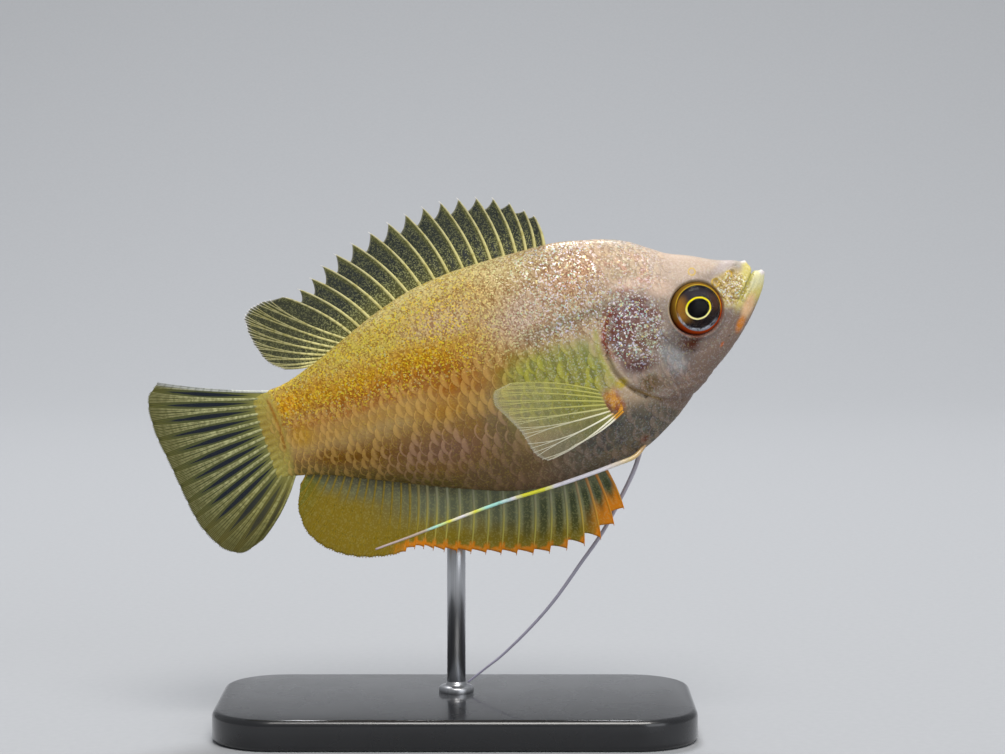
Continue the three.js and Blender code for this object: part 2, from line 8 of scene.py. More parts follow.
import bpy
import numpy as np
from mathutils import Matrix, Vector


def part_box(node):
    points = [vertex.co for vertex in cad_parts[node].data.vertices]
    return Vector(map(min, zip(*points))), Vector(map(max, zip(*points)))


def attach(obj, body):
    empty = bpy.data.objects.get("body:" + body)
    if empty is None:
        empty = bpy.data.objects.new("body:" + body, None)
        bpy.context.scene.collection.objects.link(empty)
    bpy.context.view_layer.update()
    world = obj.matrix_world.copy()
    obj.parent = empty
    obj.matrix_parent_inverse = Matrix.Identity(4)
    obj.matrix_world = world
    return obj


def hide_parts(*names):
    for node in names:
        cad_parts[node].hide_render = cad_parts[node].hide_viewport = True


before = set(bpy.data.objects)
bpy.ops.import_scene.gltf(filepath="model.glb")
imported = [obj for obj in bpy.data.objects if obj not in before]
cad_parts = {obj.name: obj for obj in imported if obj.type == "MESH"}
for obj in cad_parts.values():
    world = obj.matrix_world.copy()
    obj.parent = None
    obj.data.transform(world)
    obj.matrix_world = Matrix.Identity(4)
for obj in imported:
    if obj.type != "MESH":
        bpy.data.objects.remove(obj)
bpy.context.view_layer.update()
scene = bpy.context.scene
scene.view_settings.view_transform = "Standard"

# Camera
# A long lens a quarter of a metre from the fish's right flank, a few degrees above its level, so
# that the lower edge of the picture lies at the front edge of the stand.
LENS = 100
SENSOR = 36
VIEW_TARGET = np.array([0.0045, 0, 0.0340])
VIEW_DISTANCE = 0.268
VIEW_ELEVATION = np.radians(4.5)

view = bpy.data.cameras.new("view")
view.lens = LENS
view.sensor_width = SENSOR
view.clip_start = 0.01
camera = bpy.data.objects.new("camera", view)
away = np.array([0, -np.cos(VIEW_ELEVATION), np.sin(VIEW_ELEVATION)])
camera.location = VIEW_TARGET + VIEW_DISTANCE * away
camera.rotation_euler = (np.pi / 2 - VIEW_ELEVATION, 0, 0)
scene.collection.objects.link(camera)
scene.camera = camera

# Lights and room
# A wide soft lamp high over the fish, a weaker one on the camera's side and a narrow one behind the
# back, which draws its bright upper edge. The air of the room adds a little light from all sides.
LAMPS = {
    "key": {"at": (0.16, -0.58, 1.06), "size": 0.60, "power": 11.5, "tint": (1, 0.97, 0.93)},
    "fill": {"at": (0.70, -0.90, 0.38), "size": 0.75, "power": 3.0, "tint": (0.93, 0.96, 1)},
    "rim": {"at": (-0.04, 0.34, 0.60), "size": 0.20, "power": 3.2, "tint": (0.97, 0.98, 1)},
}
ROOM_TINT = (0.9, 0.93, 0.96, 1)
ROOM_LIGHT = 0.35


def turned_to(place, target):
    """Euler angles that point the -Z axis of an object at place towards target."""
    sight = np.array(target) - np.array(place)
    across = np.hypot(sight[0], sight[1])
    return (np.arctan2(across, -sight[2]), 0, np.arctan2(-sight[0], sight[1]))


for name, lamp in LAMPS.items():
    light = bpy.data.lights.new(name, "AREA")
    light.size = lamp["size"]
    light.energy = lamp["power"]
    light.color = lamp["tint"]
    holder = bpy.data.objects.new(name, light)
    holder.location = lamp["at"]
    holder.rotation_euler = turned_to(lamp["at"], VIEW_TARGET)
    scene.collection.objects.link(holder)

room = bpy.data.worlds.new("room")
room.use_nodes = True
room.node_tree.nodes["Background"].inputs["Color"].default_value = ROOM_TINT
room.node_tree.nodes["Background"].inputs["Strength"].default_value = ROOM_LIGHT
scene.world = room


# Floor
# A sheet of pale matt paper, as on a photographer's table. It lies level under the stand and
# curves up far behind it.
FLOOR_REACH = 0.9
FLOOR_BACK = 0.35
FLOOR_RISE = 0.5
FLOOR_STEPS = 24


def quads(rows, columns, ring=False):
    """Corner rows and corner columns of a grid's quads. A ring's last column joins its first."""
    i, j = np.meshgrid(np.arange(rows - 1), np.arange(columns - (not ring)), indexing="ij")
    i, j = i.reshape(-1, 1), j.reshape(-1, 1)
    return i + np.array([0, 0, 1, 1]), j + np.array([0, 1, 1, 0])


def volume(points, faces):
    """Signed volume of a closed shape: the sum of the pyramids from the origin to its faces."""
    total = 0
    for ring in faces:
        first = points[ring[:, 0]]
        for k in range(1, ring.shape[1] - 1):
            total += (first * np.cross(points[ring[:, k]], points[ring[:, k + 1]])).sum()
    return total


def piece(name, points, faces, places=None, closed=True):
    """Mesh object from points in metres and arrays of faces, each array for one count of corners.
    A closed shape whose volume comes out negative has its faces turned to point outwards. Places
    are the corners' spots on the bake map, in arrays like those of the faces."""
    turned = closed and volume(points - points.mean(0), faces) < 0
    way = -1 if turned else 1
    corners = np.concatenate([ring[:, ::way].ravel() for ring in faces])
    counts = np.concatenate([np.full(len(ring), ring.shape[1]) for ring in faces])
    mesh = bpy.data.meshes.new(name)
    mesh.vertices.add(len(points))
    mesh.vertices.foreach_set("co", points.ravel().astype(np.float32))
    mesh.loops.add(len(corners))
    mesh.loops.foreach_set("vertex_index", corners.astype(np.int32))
    mesh.polygons.add(len(counts))
    mesh.polygons.foreach_set("loop_start", (np.cumsum(counts) - counts).astype(np.int32))
    mesh.polygons.foreach_set("use_smooth", np.full(len(counts), True))
    mesh.update(calc_edges=True)
    if places:
        spots = np.concatenate([spread[:, ::way].reshape(-1, 2) for spread in places])
        mesh.uv_layers.new(name="OFBake").data.foreach_set("uv", spots.ravel().astype(np.float32))
    made = bpy.data.objects.new(name, mesh)
    scene.collection.objects.link(made)
    return made


class Wire:
    """One value in a material's nodes. Sums, differences, products, quotients and abs add Math
    nodes, and one | other is the larger of two."""

    def __init__(self, tree, socket=None):
        self.tree = tree
        self.socket = socket

    def node(self, kind, inputs=(), output=0, stops=None, **settings):
        """Adds any node: its settings and a ramp's stops first, then values or links of its
        sockets."""
        made = self.tree.nodes.new(kind)
        for name, value in settings.items():
            setattr(made, name, value)
        if stops:
            elements = made.color_ramp.elements
            elements.remove(elements[1])
            elements[0].position, elements[0].color = stops[0][0], pigment(*stops[0][1])
            for place, tone in stops[1:]:
                elements.new(place).color = pigment(*tone)
        for name, value in dict(inputs).items():
            if isinstance(value, Wire):
                self.tree.links.new(value.socket, made.inputs[name])
            else:
                made.inputs[name].default_value = value
        return Wire(self.tree, made.outputs[output])

    def math(self, operation, *others, first=None):
        values = (self, *others) if first is None else (first, self)
        return self.node("ShaderNodeMath", enumerate(values), operation=operation)

    def __add__(self, other):
        return self.math("ADD", other)

    def __sub__(self, other):
        return self.math("SUBTRACT", other)

    def __rsub__(self, other):
        return self.math("SUBTRACT", first=other)

    def __mul__(self, other):
        return self.math("MULTIPLY", other)

    def __truediv__(self, other):
        return self.math("DIVIDE", other)

    def __or__(self, other):
        return self.math("MAXIMUM", other)

    def __abs__(self):
        return self.math("ABSOLUTE")

    __radd__ = __add__
    __rmul__ = __mul__

    def rise(self, low, high):
        """Soft step from 0 at low to 1 at high."""
        inputs = {"Value": self, "From Min": low, "From Max": high}
        return self.node("ShaderNodeMapRange", inputs, interpolation_type="SMOOTHSTEP")

    def bell(self, centre, width):
        """Soft bump that is 1 at centre and 0 a width away on both sides."""
        return abs(self - centre).rise(width, 0)

    def blend(self, *tones):
        """Colour between two, with this value as the second one's share. A colour is a wire, or its
        red, green and blue as seen on a screen."""
        one, other = (tone if isinstance(tone, Wire) else pigment(*tone) for tone in tones)
        return self.node("ShaderNodeMix", {0: self, 6: one, 7: other}, 2, data_type="RGBA")


def material(name, **fixed):
    """New material: its main shader with the numbers that are the same all over, and a first
    wire."""
    made = bpy.data.materials.new(name)
    made.use_nodes = True
    shader = made.node_tree.nodes["Principled BSDF"]
    for socket, value in fixed.items():
        shader.inputs[socket.replace("_", " ")].default_value = value
    return made, shader, Wire(made.node_tree)


def feed(shader, wire, name):
    """Wires a value to the shader's socket of that name."""
    wire.tree.links.new(wire.socket, shader.inputs[name])


def pigment(red, green, blue):
    """Colour as seen on a screen, 0 to 255 each, turned into the light that it throws back."""
    share = np.array([red, green, blue]) / 255
    light = np.where(share <= 0.04045, share / 12.92, ((share + 0.055) / 1.055) ** 2.4)
    return (*light.tolist(), 1)


def in_millimetres(wire):
    """Object coordinates of a surface, in millimetres."""
    place = wire.node("ShaderNodeTexCoord", output=3)
    return wire.node("ShaderNodeVectorMath", {0: place, "Scale": 1000.0}, operation="SCALE")


def noise(place, scale, detail):
    """Soft noise, with so many grains to a millimetre and so much finer noise on top."""
    return place.node("ShaderNodeTexNoise", {"Vector": place, "Scale": scale, "Detail": detail})


def floor_sheet():
    """Paper carried along X, level up to FLOOR_BACK behind the stand and then on a quarter
    circle."""
    turn = np.linspace(0, np.pi / 2, FLOOR_STEPS)
    bend = FLOOR_BACK + FLOOR_RISE * np.sin(turn)
    depth = np.concatenate([[-FLOOR_REACH], bend, [FLOOR_BACK + FLOOR_RISE]])
    height = np.concatenate([[0], FLOOR_RISE * (1 - np.cos(turn)), [2 * FLOOR_RISE]])
    side = np.linspace(-FLOOR_REACH, FLOOR_REACH, 3)
    x, y = np.broadcast_arrays(side[None, :], depth[:, None])
    z = np.broadcast_to(height[:, None], x.shape)
    i, j = quads(len(depth), len(side))
    return np.stack([x, y, z], -1).reshape(-1, 3), i * len(side) + j


floor_points, floor_faces = floor_sheet()
floor = piece("floor", floor_points, [floor_faces], closed=False)
paper, shader, wire = material("paper", Roughness=0.85)
grain = noise(in_millimetres(wire), 1.3, 5.0)
feed(shader, grain.blend((158, 160, 164), (166, 168, 171)), "Base Color")
floor.data.materials.append(paper)


# Skin of head, jaws, gill covers and body
# One closed skin from the jaws to the wedge that the tail fin grips, where the real fish has skin
# drawn over bone and muscle. Lips, nostrils, pores, eye rims and gill covers are raised in it.
PITCH = np.radians(18)
SNOUT = np.array([29.6, 0, 44.1])
COAT = 0.07
SECTIONS = 430
AROUND = 220
FLANK = 0.92
STATIONS = np.interp(np.linspace(0, 1, SECTIONS), [0, 0.15, 0.64, 1], [0.02, 2.4, 18, 50.6])


def placed(points):
    """World places, in metres, of fish-frame places (a, y, h): turned head up about the jaw tip."""
    a, y, h = np.moveaxis(points, -1, 0)
    x = SNOUT[0] - a * np.cos(PITCH) - h * np.sin(PITCH)
    z = SNOUT[2] - a * np.sin(PITCH) + h * np.cos(PITCH)
    return np.stack([x, y, z], -1).reshape(-1, 3) / 1000


def profile(knots):
    """Smooth curve through [place, value] knots that never overshoots them: cubic pieces, and the
    slope at a knot is the harmonic mean of the slopes beside it, or 0 where they differ in sign."""
    x, v = np.array(knots, float).T
    rise = np.diff(v) / np.diff(x)
    before = np.append(rise[0], rise)
    after = np.append(rise, rise[-1])
    same = before * after > 0
    slope = np.where(same, 2 * before * after / np.where(same, before + after, 1), 0)

    def at(place):
        p = np.clip(place, x[0], x[-1])
        i = np.clip(np.searchsorted(x, p, side="right") - 1, 0, len(x) - 2)
        span = x[i + 1] - x[i]
        t = (p - x[i]) / span
        near, far = (1 + 2 * t) * (1 - t) ** 2, t * t * (3 - 2 * t)
        lean = t * (1 - t) ** 2 * slope[i] + t * t * (t - 1) * slope[i + 1]
        return near * v[i] + far * v[i + 1] + lean * span

    return at


back = profile([
    [0, 0.05], [0.26, 0.34], [0.8, 0.32], [1.22, 0.3], [1.34, 1], [1.5, 1.68], [2, 1.78],
    [2.3, 1.96], [4, 2.56], [6.4, 3.78], [8.5, 4.72], [10, 5.76], [12.1, 7.15], [14.8, 8.1],
    [19.1, 9.02], [27.5, 9.36], [31.7, 9.07], [36, 8.05], [40.7, 6.28], [44.2, 4.93], [47.5, 4.02],
    [49, 3.9], [50.6, 3.6],
])
belly = profile([
    [0, -0.05], [0.48, -1.16], [1.71, -2.8], [3.22, -4.38], [5.33, -6.14], [9.13, -8.56],
    [13, -11.2], [16.6, -12.8], [20.8, -13.4], [23.5, -13.56], [25.9, -13.4], [28.7, -12.88],
    [34.1, -10.95], [42, -7.45], [46.5, -5.5], [49, -4.8], [50.6, -4.5],
])
half_width = profile([
    [0, 0.12], [0.35, 0.62], [1, 1.02], [2, 1.42], [3.3, 1.88], [5, 2.45], [7.4, 3.08], [10, 3.55],
    [13, 3.9], [17, 4.2], [22, 4.35], [27, 4.2], [32, 3.75], [37, 3.05], [42, 2.2], [46, 1.4],
    [49, 0.75], [50.6, 0.12],
])
waist = profile([
    [0, 0], [1.2, -0.5], [3, -1.2], [7, -1.7], [13, -2.5], [20, -2.8], [30, -1.6], [40, -0.5],
    [49, -0.4],
])
back_edge = profile([[0, 1], [5, 0.9], [9, 0.92], [16, 1.1], [40, 1.15], [49, 1]])
belly_edge = profile([[0, 1], [8, 1.05], [15, 1.1], [22, 1.3], [44, 1.25], [49, 1]])


def plain_skin(a, turn, grow=-COAT):
    """Skin before its relief. A section is two half ovals, one over the waist and one under it, and
    turn runs from the back (0) by the right flank to the belly (half a turn) and round."""
    across, along = np.sin(turn * 2 * np.pi), np.cos(turn * 2 * np.pi)
    edge = np.where(along > 0, back_edge(a), belly_edge(a))
    y = -np.sign(across) * (half_width(a) + grow) * np.abs(across) ** edge
    up, down = back(a) + grow - waist(a), waist(a) - belly(a) + grow
    h = waist(a) + np.where(along > 0, up, -down) * np.abs(along) ** FLANK
    return np.stack(np.broadcast_arrays(a, y, h), -1)


def skin_half(a, h, grow=-COAT):
    """Half width of the plain skin at a height: the same half ovals, solved for y."""
    above = h > waist(a)
    reach = np.where(above, back(a), -belly(a)) + grow + np.where(above, -waist(a), waist(a))
    along = np.minimum(np.abs(h - waist(a)) / reach, 1) ** (1 / FLANK)
    edge = np.where(above, back_edge(a), belly_edge(a))
    return (half_width(a) + grow) * np.sqrt(1 - along**2) ** edge


def spline(places, steps):
    """Points of a smooth line through places: each stretch is a cubic whose end slopes are half the
    step between the neighbours on both sides, and the line keeps its first and last slope."""
    p = np.array(places, float)
    p = np.concatenate([2 * p[:1] - p[1:2], p, 2 * p[-1:] - p[-2:-1]])
    u = np.linspace(0, len(places) - 1, steps)
    i = np.minimum(u.astype(int), len(places) - 2)
    t = (u - i)[:, None]
    p0, p1, p2, p3 = p[i], p[i + 1], p[i + 2], p[i + 3]
    bend = (2 * p0 - 5 * p1 + 4 * p2 - p3) * t**2 + (3 * p1 - p0 - 3 * p2 + p3) * t**3
    return p1 + ((p2 - p0) * t + bend) / 2


def from_line(a, h, line):
    """Distance of places of the side view to a line, positive on the side of the snout where the
    line runs downwards, and how far along the line the nearest point is, from 0 to 1."""
    start, step = line[:-1], np.diff(line, axis=0)
    ra, rh = a[..., None] - start[:, 0], h[..., None] - start[:, 1]
    share = np.clip((ra * step[:, 0] + rh * step[:, 1]) / (step**2).sum(1), 0, 1)
    da, dh = ra - share * step[:, 0], rh - share * step[:, 1]
    nearest = np.hypot(da, dh).argmin(-1)[..., None]
    pick = lambda values: np.take_along_axis(values, nearest, -1)[..., 0]
    side = np.sign(pick(step[:, 1] * da - step[:, 0] * dh))
    run = (nearest[..., 0] + pick(share)) / len(step)
    return side * pick(np.hypot(da, dh)), run


def ridge(distance, width):
    """Bell curve of a distance: 1 on the line, fading over about the width."""
    return np.exp(-((distance / width) ** 2))


def step(x, low, high):
    """Soft step from 0 at low to 1 at high."""
    t = np.clip((x - low) / (high - low), 0, 1)
    return t * t * (3 - 2 * t)


GAPE = spline([[0.9, 0.9], [1.24, 0.34], [2, -0.5], [2.6, -1.05], [3.3, -1.75]], 20)
JAW_REAR = spline([[3.3, -1.75], [3.9, -3.4], [4.5, -4.8], [5.1, -6.3]], 12)
GILL_OPENING = spline([
    [10, 7.6], [10.7, 5.6], [12.8, 3.5], [14.7, 1.5], [15.9, -0.1], [16.6, -1.5], [16.8, -3],
    [16.5, -4.6], [15.7, -6.1], [14.6, -7.4], [13.2, -8.3], [11.6, -8.8], [10.2, -8.95],
    [8.9, -9.05], [8.2, -9.4],
], 50)
COVER_FRONT = spline([
    [14.7, 1.5], [13.3, 2], [11.9, 1.75], [11.15, 0.5], [11.4, -1.3], [11.95, -3], [12.15, -5],
    [11.95, -6.6], [11.65, -7.9], [11.5, -9],
], 30)
CHEEK_FOLD = spline([[6.3, -4.4], [7.6, -5.1], [9.2, -5], [10.6, -4.1], [11.5, -2.6]], 12)
EYE = np.array([7.45, 2.1, -1.13])
EYE_RADIUS = 2.5
RIM_RADIUS = 2.74
NOSTRILS = [(3.1, 1.0, 0.22), (4.85, 0.7, 0.28)]
PORES = [
    (9.58, 1.25), (12.5, 1.81), (13.95, 2.89), (6.3, 1.95), (2.6, 1.55), (5.2, -4.7), (8.9, -4.9),
]
PORE = 0.13
PECTORAL_ROOT = (17.85, -7.35)


def relief(a, h):
    """Height of the forms over the plain skin, in mm, the same on both sides: ridges and grooves
    are bell curves of the distance to a line or ring, and plates and sockets are soft steps."""
    # Lips and jaws
    gape, run = from_line(a, h, GAPE)
    mouth = 1 - step(run, 0.9, 1)
    high = 0.16 * mouth * ridge(np.abs(gape) - 0.34, 0.22)
    high -= 0.2 * ridge(gape, 0.1) * (1 - step(run, 0.98, 1))
    high += 0.05 * ridge(np.abs(gape) - 0.8, 0.2) * mouth
    high -= 0.07 * ridge(from_line(a, h, JAW_REAR)[0], 0.16) * step(h, -6.2, -5)
    # Rim and socket of the eye
    eye = np.hypot(a - EYE[0], h - EYE[2])
    rim = step(eye, RIM_RADIUS - 0.08, EYE_RADIUS + 0.02)
    high += 0.16 * ridge(eye - RIM_RADIUS, 0.2) - 0.55 * rim
    high -= 1.1 * step(eye, EYE_RADIUS + 0.02, EYE_RADIUS - 0.3)
    # Nostrils and pores
    for na, nh, radius in NOSTRILS:
        reach = np.hypot(a - na, h - nh)
        high += 0.13 * ridge(reach - radius - 0.1, 0.09) - 0.3 * ridge(reach, radius * 0.75)
    for pa, ph in PORES:
        reach = np.hypot(a - pa, h - ph)
        high += 0.04 * ridge(reach - PORE - 0.07, 0.08) - 0.12 * ridge(reach, PORE)
    # Gill cover, its front edge and the fold of the cheek
    gill, run = from_line(a, h, GILL_OPENING)
    throat = 0.25 + 0.75 * step(h, -8.9, -7.9)
    open_part = step(run, 0.14, 0.26) * (1 - step(run, 0.93, 1)) * throat
    plate = 0.2 * (1 - step(gill, 0.1, 2.6)) * (gill > 0)
    high += open_part * (plate + 0.05 * ridge(gill - 0.3, 0.22))
    high -= open_part * 0.26 * ridge(gill + 0.1, 0.2)
    front = from_line(a, h, COVER_FRONT)[0]
    high += 0.1 * ridge(front + 0.12, 0.2) - 0.08 * ridge(front - 0.25, 0.2)
    high -= 0.06 * ridge(from_line(a, h, CHEEK_FOLD)[0], 0.22)
    # Rays of the gill skin under the cover, and the root of the pectoral fin
    rays = np.sin(2 * np.pi * gill / 0.75) * step(gill, 0.4, 0.9) * (1 - step(gill, 3, 4.2))
    high += 0.03 * rays * step(h, -6.3, -7.4) * step(a, 6.5, 8)
    root = np.hypot((a - PECTORAL_ROOT[0]) / 0.8, (h - PECTORAL_ROOT[1]) / 1.5)
    return high + 0.5 * ridge(root, 0.85)


def outward(points):
    """Unit normals of a grid of points, rows along the body and columns round it."""
    along = np.gradient(points, axis=0)
    wrapped = np.concatenate([points[:, -1:], points, points[:, :1]], 1)
    normal = np.cross(along, (wrapped[:, 2:] - wrapped[:, :-2]) / 2)
    length = np.linalg.norm(normal, axis=-1, keepdims=True)
    return -normal / np.maximum(length, 1e-9)


turns = np.arange(AROUND) / AROUND
bare = plain_skin(STATIONS[:, None], turns[None, :])
skin_points = bare + outward(bare) * relief(bare[..., 0], bare[..., 2])[..., None]
skin_normals = outward(skin_points)


def unwrap(i, j):
    """OFBake places of grid corners: along the body in one direction, round it in the other."""
    return np.stack([0.01 + 0.98 * i / (SECTIONS - 1), 0.01 + 0.98 * j / AROUND], -1)


def skin_piece():
    """Rings of skin, with the first closed at the jaw tip and the last inside the tail fin."""
    i, j = quads(SECTIONS, AROUND, ring=True)
    tips = np.array([[0, 0, 0], [50.7, 0, -0.45]])
    points = placed(np.concatenate([skin_points.reshape(-1, 3), tips]))
    around = np.arange(AROUND)
    faces, places = [i * AROUND + j % AROUND], [unwrap(i, j)]
    for tip, row in enumerate((0, SECTIONS - 1)):
        ring = np.stack([around, around + 1], -1)[:, :: 1 if tip else -1]
        middle = np.full((AROUND, 1), SECTIONS * AROUND + tip)
        faces.append(np.concatenate([middle, row * AROUND + ring % AROUND], 1))
        spots = np.concatenate([around[:, None] + 0.5, ring], 1)
        places.append(unwrap(np.full((AROUND, 3), row), spots))
    return piece("skin", points, faces, places)


def hang(made, slot, *nodes, finish=None):
    """Fixes a piece to the body in place of its CAD nodes, and gives it its finish."""
    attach(made, "root")
    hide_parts(*nodes)
    if finish:
        made.data.materials.append(finish)
    return made


skin = skin_piece()
covers = ["gill_cover_right", "gill_cover_left"]
hang(skin, "skin", "head", "lower_jaw", "trunk", "tail_stalk", *covers)


# Colours of the skin and scales
# One painted finish over skin and coat: gold back, pearly shoulders, an orange streak to the tail,
# green behind the gills, brown lower flanks and a grey breast. Fine grains in the paint are bright
# painted glints of light and dark flecks, and the underside is darkened with painted shade.
# Each layer of paint is laid through a soft mask, whose places are in mm of the fish frame.
OLIVE, UMBER = (84, 88, 44), (92, 68, 44)
GLITTER_GRAINS = 7.5
# Tints of the bright grains, which are painted glints: cool ones on the front of the body, warm
# ones behind.
COOL_PAINTED_GLINTS = [
    (0.0, (196, 208, 240)), (0.3, (238, 222, 236)), (0.5, (250, 246, 240)),
    (0.7, (176, 226, 206)), (1.0, (236, 206, 120)),
]
WARM_PAINTED_GLINTS = [
    (0.0, (250, 206, 24)), (0.35, (252, 222, 66)), (0.6, (220, 214, 40)),
    (0.8, (236, 204, 120)), (1.0, (200, 204, 150)),
]


def fish_frame(wire):
    """Fish-frame a and h of a surface, and its place in millimetres."""
    place = in_millimetres(wire)
    split = place.node("ShaderNodeSeparateXYZ", {0: place})
    z = Wire(wire.tree, split.socket.node.outputs[2])
    ahead, below = float(SNOUT[0]) - split, float(SNOUT[2]) - z
    cos, sin = float(np.cos(PITCH)), float(np.sin(PITCH))
    return ahead * cos + below * sin, ahead * sin - below * cos, place


def spot(a, h, centre, reach, tilt, soft):
    """Oval mask: 1 inside, fading to 0 at its rim. Reach is its half length and half height, tilt
    its lift towards the tail in degrees, and soft the share of the reach over which it fades."""
    da, dh = a - centre[0], h - centre[1]
    cos, sin = float(np.cos(np.radians(tilt))), float(np.sin(np.radians(tilt)))
    along, over = (da * cos + dh * sin) / reach[0], (dh * cos - da * sin) / reach[1]
    far = (along * along + over * over).math("SQRT")
    return far.rise(1, 1 - soft)


def streak(a, h, path, width, front=None, rear=None):
    """Mask of a band along h = start + slope * a, fading over its width. Front and rear are the two
    places along the body between which an end of it fades in or out."""
    start, slope = path
    mask = abs(h - (a * slope + start)).rise(width, 0)
    if front:
        mask = mask * a.rise(*front)
    if rear:
        mask = mask * a.rise(*rear)
    return mask


def from_gill(a, h):
    """Mask of the head: what lies in front of a parabola that runs close to the gill opening."""
    return (a - (16.4 - (h + 2.6) * (h + 2.6) * 0.085)).rise(0.6, -0.6)


class Layers:
    """Colour of a finish, built up in layers."""

    def __init__(self, colour):
        self.colour = colour

    def lay(self, mask, tone):
        """Lays a colour over what is there, as thickly as the mask says."""
        self.colour = mask.blend(self.colour, tone)


def ground(a, h):
    """Broad colours of the body: back and shoulder, the streak, the lower flank and the belly."""
    paint = Layers(a.rise(14, 27).blend((190, 167, 140), (182, 154, 100)))
    # Back and shoulder
    paint.lay(a.rise(25, 38) * h.rise(1.6, 5), (196, 176, 80))
    paint.lay((h + abs(a - 28) * 0.16).rise(7, 10) * a.rise(18, 26), (226, 214, 153))
    paint.lay(spot(a, h, (17.5, 5.6), (5, 2.6), -14, 0.9), (202, 159, 123))
    paint.lay(spot(a, h, (23.5, 3.4), (5.5, 3.2), -8, 0.9), (189, 164, 146))
    paint.lay(spot(a, h, (31, 5.2), (6, 2.6), 0, 0.9), (195, 169, 133))
    # Orange streak with its rusty middle, and the paler bands under it
    paint.lay(streak(a, h, (3.2, -0.025), 2.5, (26, 33)), (197, 149, 25))
    paint.lay(streak(a, h, (2.3, -0.035), 1.4, (27, 34), (46, 42)), (180, 113, 22))
    paint.lay(spot(a, h, (31.8, -0.4), (5.5, 2.9), 12, 0.8), (157, 93, 21))
    paint.lay(streak(a, h, (1.0, -0.03), 1.3, (30, 36), (48.5, 47)), (175, 121, 62))
    paint.lay(streak(a, h, (-0.9, -0.022), 1.6, (31, 38), (48, 45)), (180, 144, 79))
    # Lower flank and belly
    paint.lay(spot(a, h, (33, -3.1), (5, 2.0), 6, 0.9), (169, 121, 46))
    under = h - a * 0.05 + 5.3
    paint.lay(under.rise(0.9, -0.9) * a.rise(26, 30), (144, 108, 58))
    paint.lay(streak(a, h, (-12.8, 0.19), 1.4, (33, 38), (47, 45)), (122, 81, 10))
    paint.lay(spot(a, h, (34, -6.6), (7.5, 2.3), 14, 0.9), (134, 99, 76))
    paint.lay((h - (a * 0.41 - 23.8)).rise(1.1, -0.7), (114, 99, 51))
    paint.lay(h.rise(-7.8, -9.8) * a.rise(36, 32), (130, 105, 74))
    paint.lay(h.rise(-10.6, -12.2) * a.rise(31, 27), (135, 110, 88))
    paint.lay(spot(a, h, (28.4, -6), (2.4, 5), 6, 0.8), (133, 112, 78))
    return paint


def green(paint, a, h):
    """Green leaf behind the gills, its dusky upper edge and the grey breast. Gives the leaf."""
    paint.lay(spot(a, h, (25.2, -1.6), (4.6, 3.4), 8, 0.8), (140, 107, 21))
    leaf = spot(a, h, (22.4, -4.0), (6.4, 5.0), 4, 0.45)
    paint.lay(leaf, (153, 153, 80))
    paint.lay(spot(a, h, (18.6, -2.6), (1.3, 3.4), 0, 0.9), (140, 147, 81))
    paint.lay(spot(a, h, (26.6, -5.2), (2.2, 3.6), 14, 0.9), (151, 141, 86))
    dusk = streak(a, h, (3.2, -0.09), 1.3, (13.5, 16), (27, 22))
    paint.lay(dusk, (146, 134, 110))
    breast = (h + abs(a - 18) * 0.15).rise(-6.6, -8.8) * a.rise(27, 21) * a.rise(10, 14)
    paint.lay(breast, (109, 106, 94))
    paint.lay(h.rise(-10.4, -12) * a.rise(25, 19), (121, 110, 88))
    return leaf


def face(paint, a, h, a1, h1):
    """Head: nape and crown, gill cover, cheek, snout and jaws."""
    head = from_gill(a, h)
    # Side of the head, crown and nape
    paint.lay(head * h1.rise(2.8, 1.6), (156, 141, 128))
    paint.lay(head * a.rise(12.4, 11.2) * h1.rise(-1.5, -3), (114, 104, 99))
    crown = h.rise(1.2, 2.4) * a.rise(12, 10)
    paint.lay(crown, (196, 175, 157))
    paint.lay(spot(a, h, (12.6, 3.0), (3, 1.0), 12, 0.9), (227, 199, 180))
    ridge_line = h - (a * 0.62 + 0.4 - (a - 6) * (a - 6) * 0.025)
    paint.lay(ridge_line.rise(-1.2, 0.3) * a.rise(15, 12), (170, 160, 148))
    # Gill cover and cheek
    paint.lay(spot(a1, h1, (13.6, 0.5), (2.8, 2.0), 0, 0.8), (146, 126, 128))
    paint.lay(spot(a1, h1, (15.4, -2.4), (1.2, 2.8), 6, 0.8), (112, 94, 92))
    paint.lay(spot(a1, h1, (13.2, -2.6), (1.8, 1.5), 0, 0.9), (170, 172, 146))
    paint.lay(spot(a1, h1, (14.3, -4.5), (1.9, 1.2), 0, 0.9), (79, 56, 57))
    paint.lay(spot(a1, h1, (13.7, -6.6), (2.4, 1.5), 10, 0.8), (97, 79, 52))
    paint.lay(spot(a1, h1, (11.2, -4.8), (1.5, 2.3), -10, 0.9), (155, 157, 156))
    # Throat
    low = head * (h1 + (a1 - 9) * 0.62 + 5.6).rise(1.5, -1.2)
    paint.lay(low, (134, 113, 100))
    paint.lay(spot(a1, h1, (8.9, -3.9), (1.8, 1.4), 0, 0.9), (70, 30, 10))
    # Snout and jaws
    snout = spot(a, h, (3.6, -0.4), (2.6, 2.1), 0, 0.4)
    paint.lay(snout, (202, 181, 123))
    paint.lay(spot(a, h, (3.3, 2.0), (2.4, 0.8), -22, 0.8), (185, 172, 166))
    paint.lay((a + h * 0.55).rise(3.0, 2.2) * h.rise(-3.2, -1.6), (215, 201, 120))
    paint.lay((a + h * 0.9).rise(1.7, 1.0) * h.rise(-1.6, -0.6), (218, 213, 167))
    paint.lay(spot(a, h, (2.6, -2.6), (1.9, 0.8), -52, 0.7), (228, 187, 142))
    paint.lay(spot(a, h, (3.8, -3.95), (1.2, 0.55), -50, 0.7), (211, 131, 49))


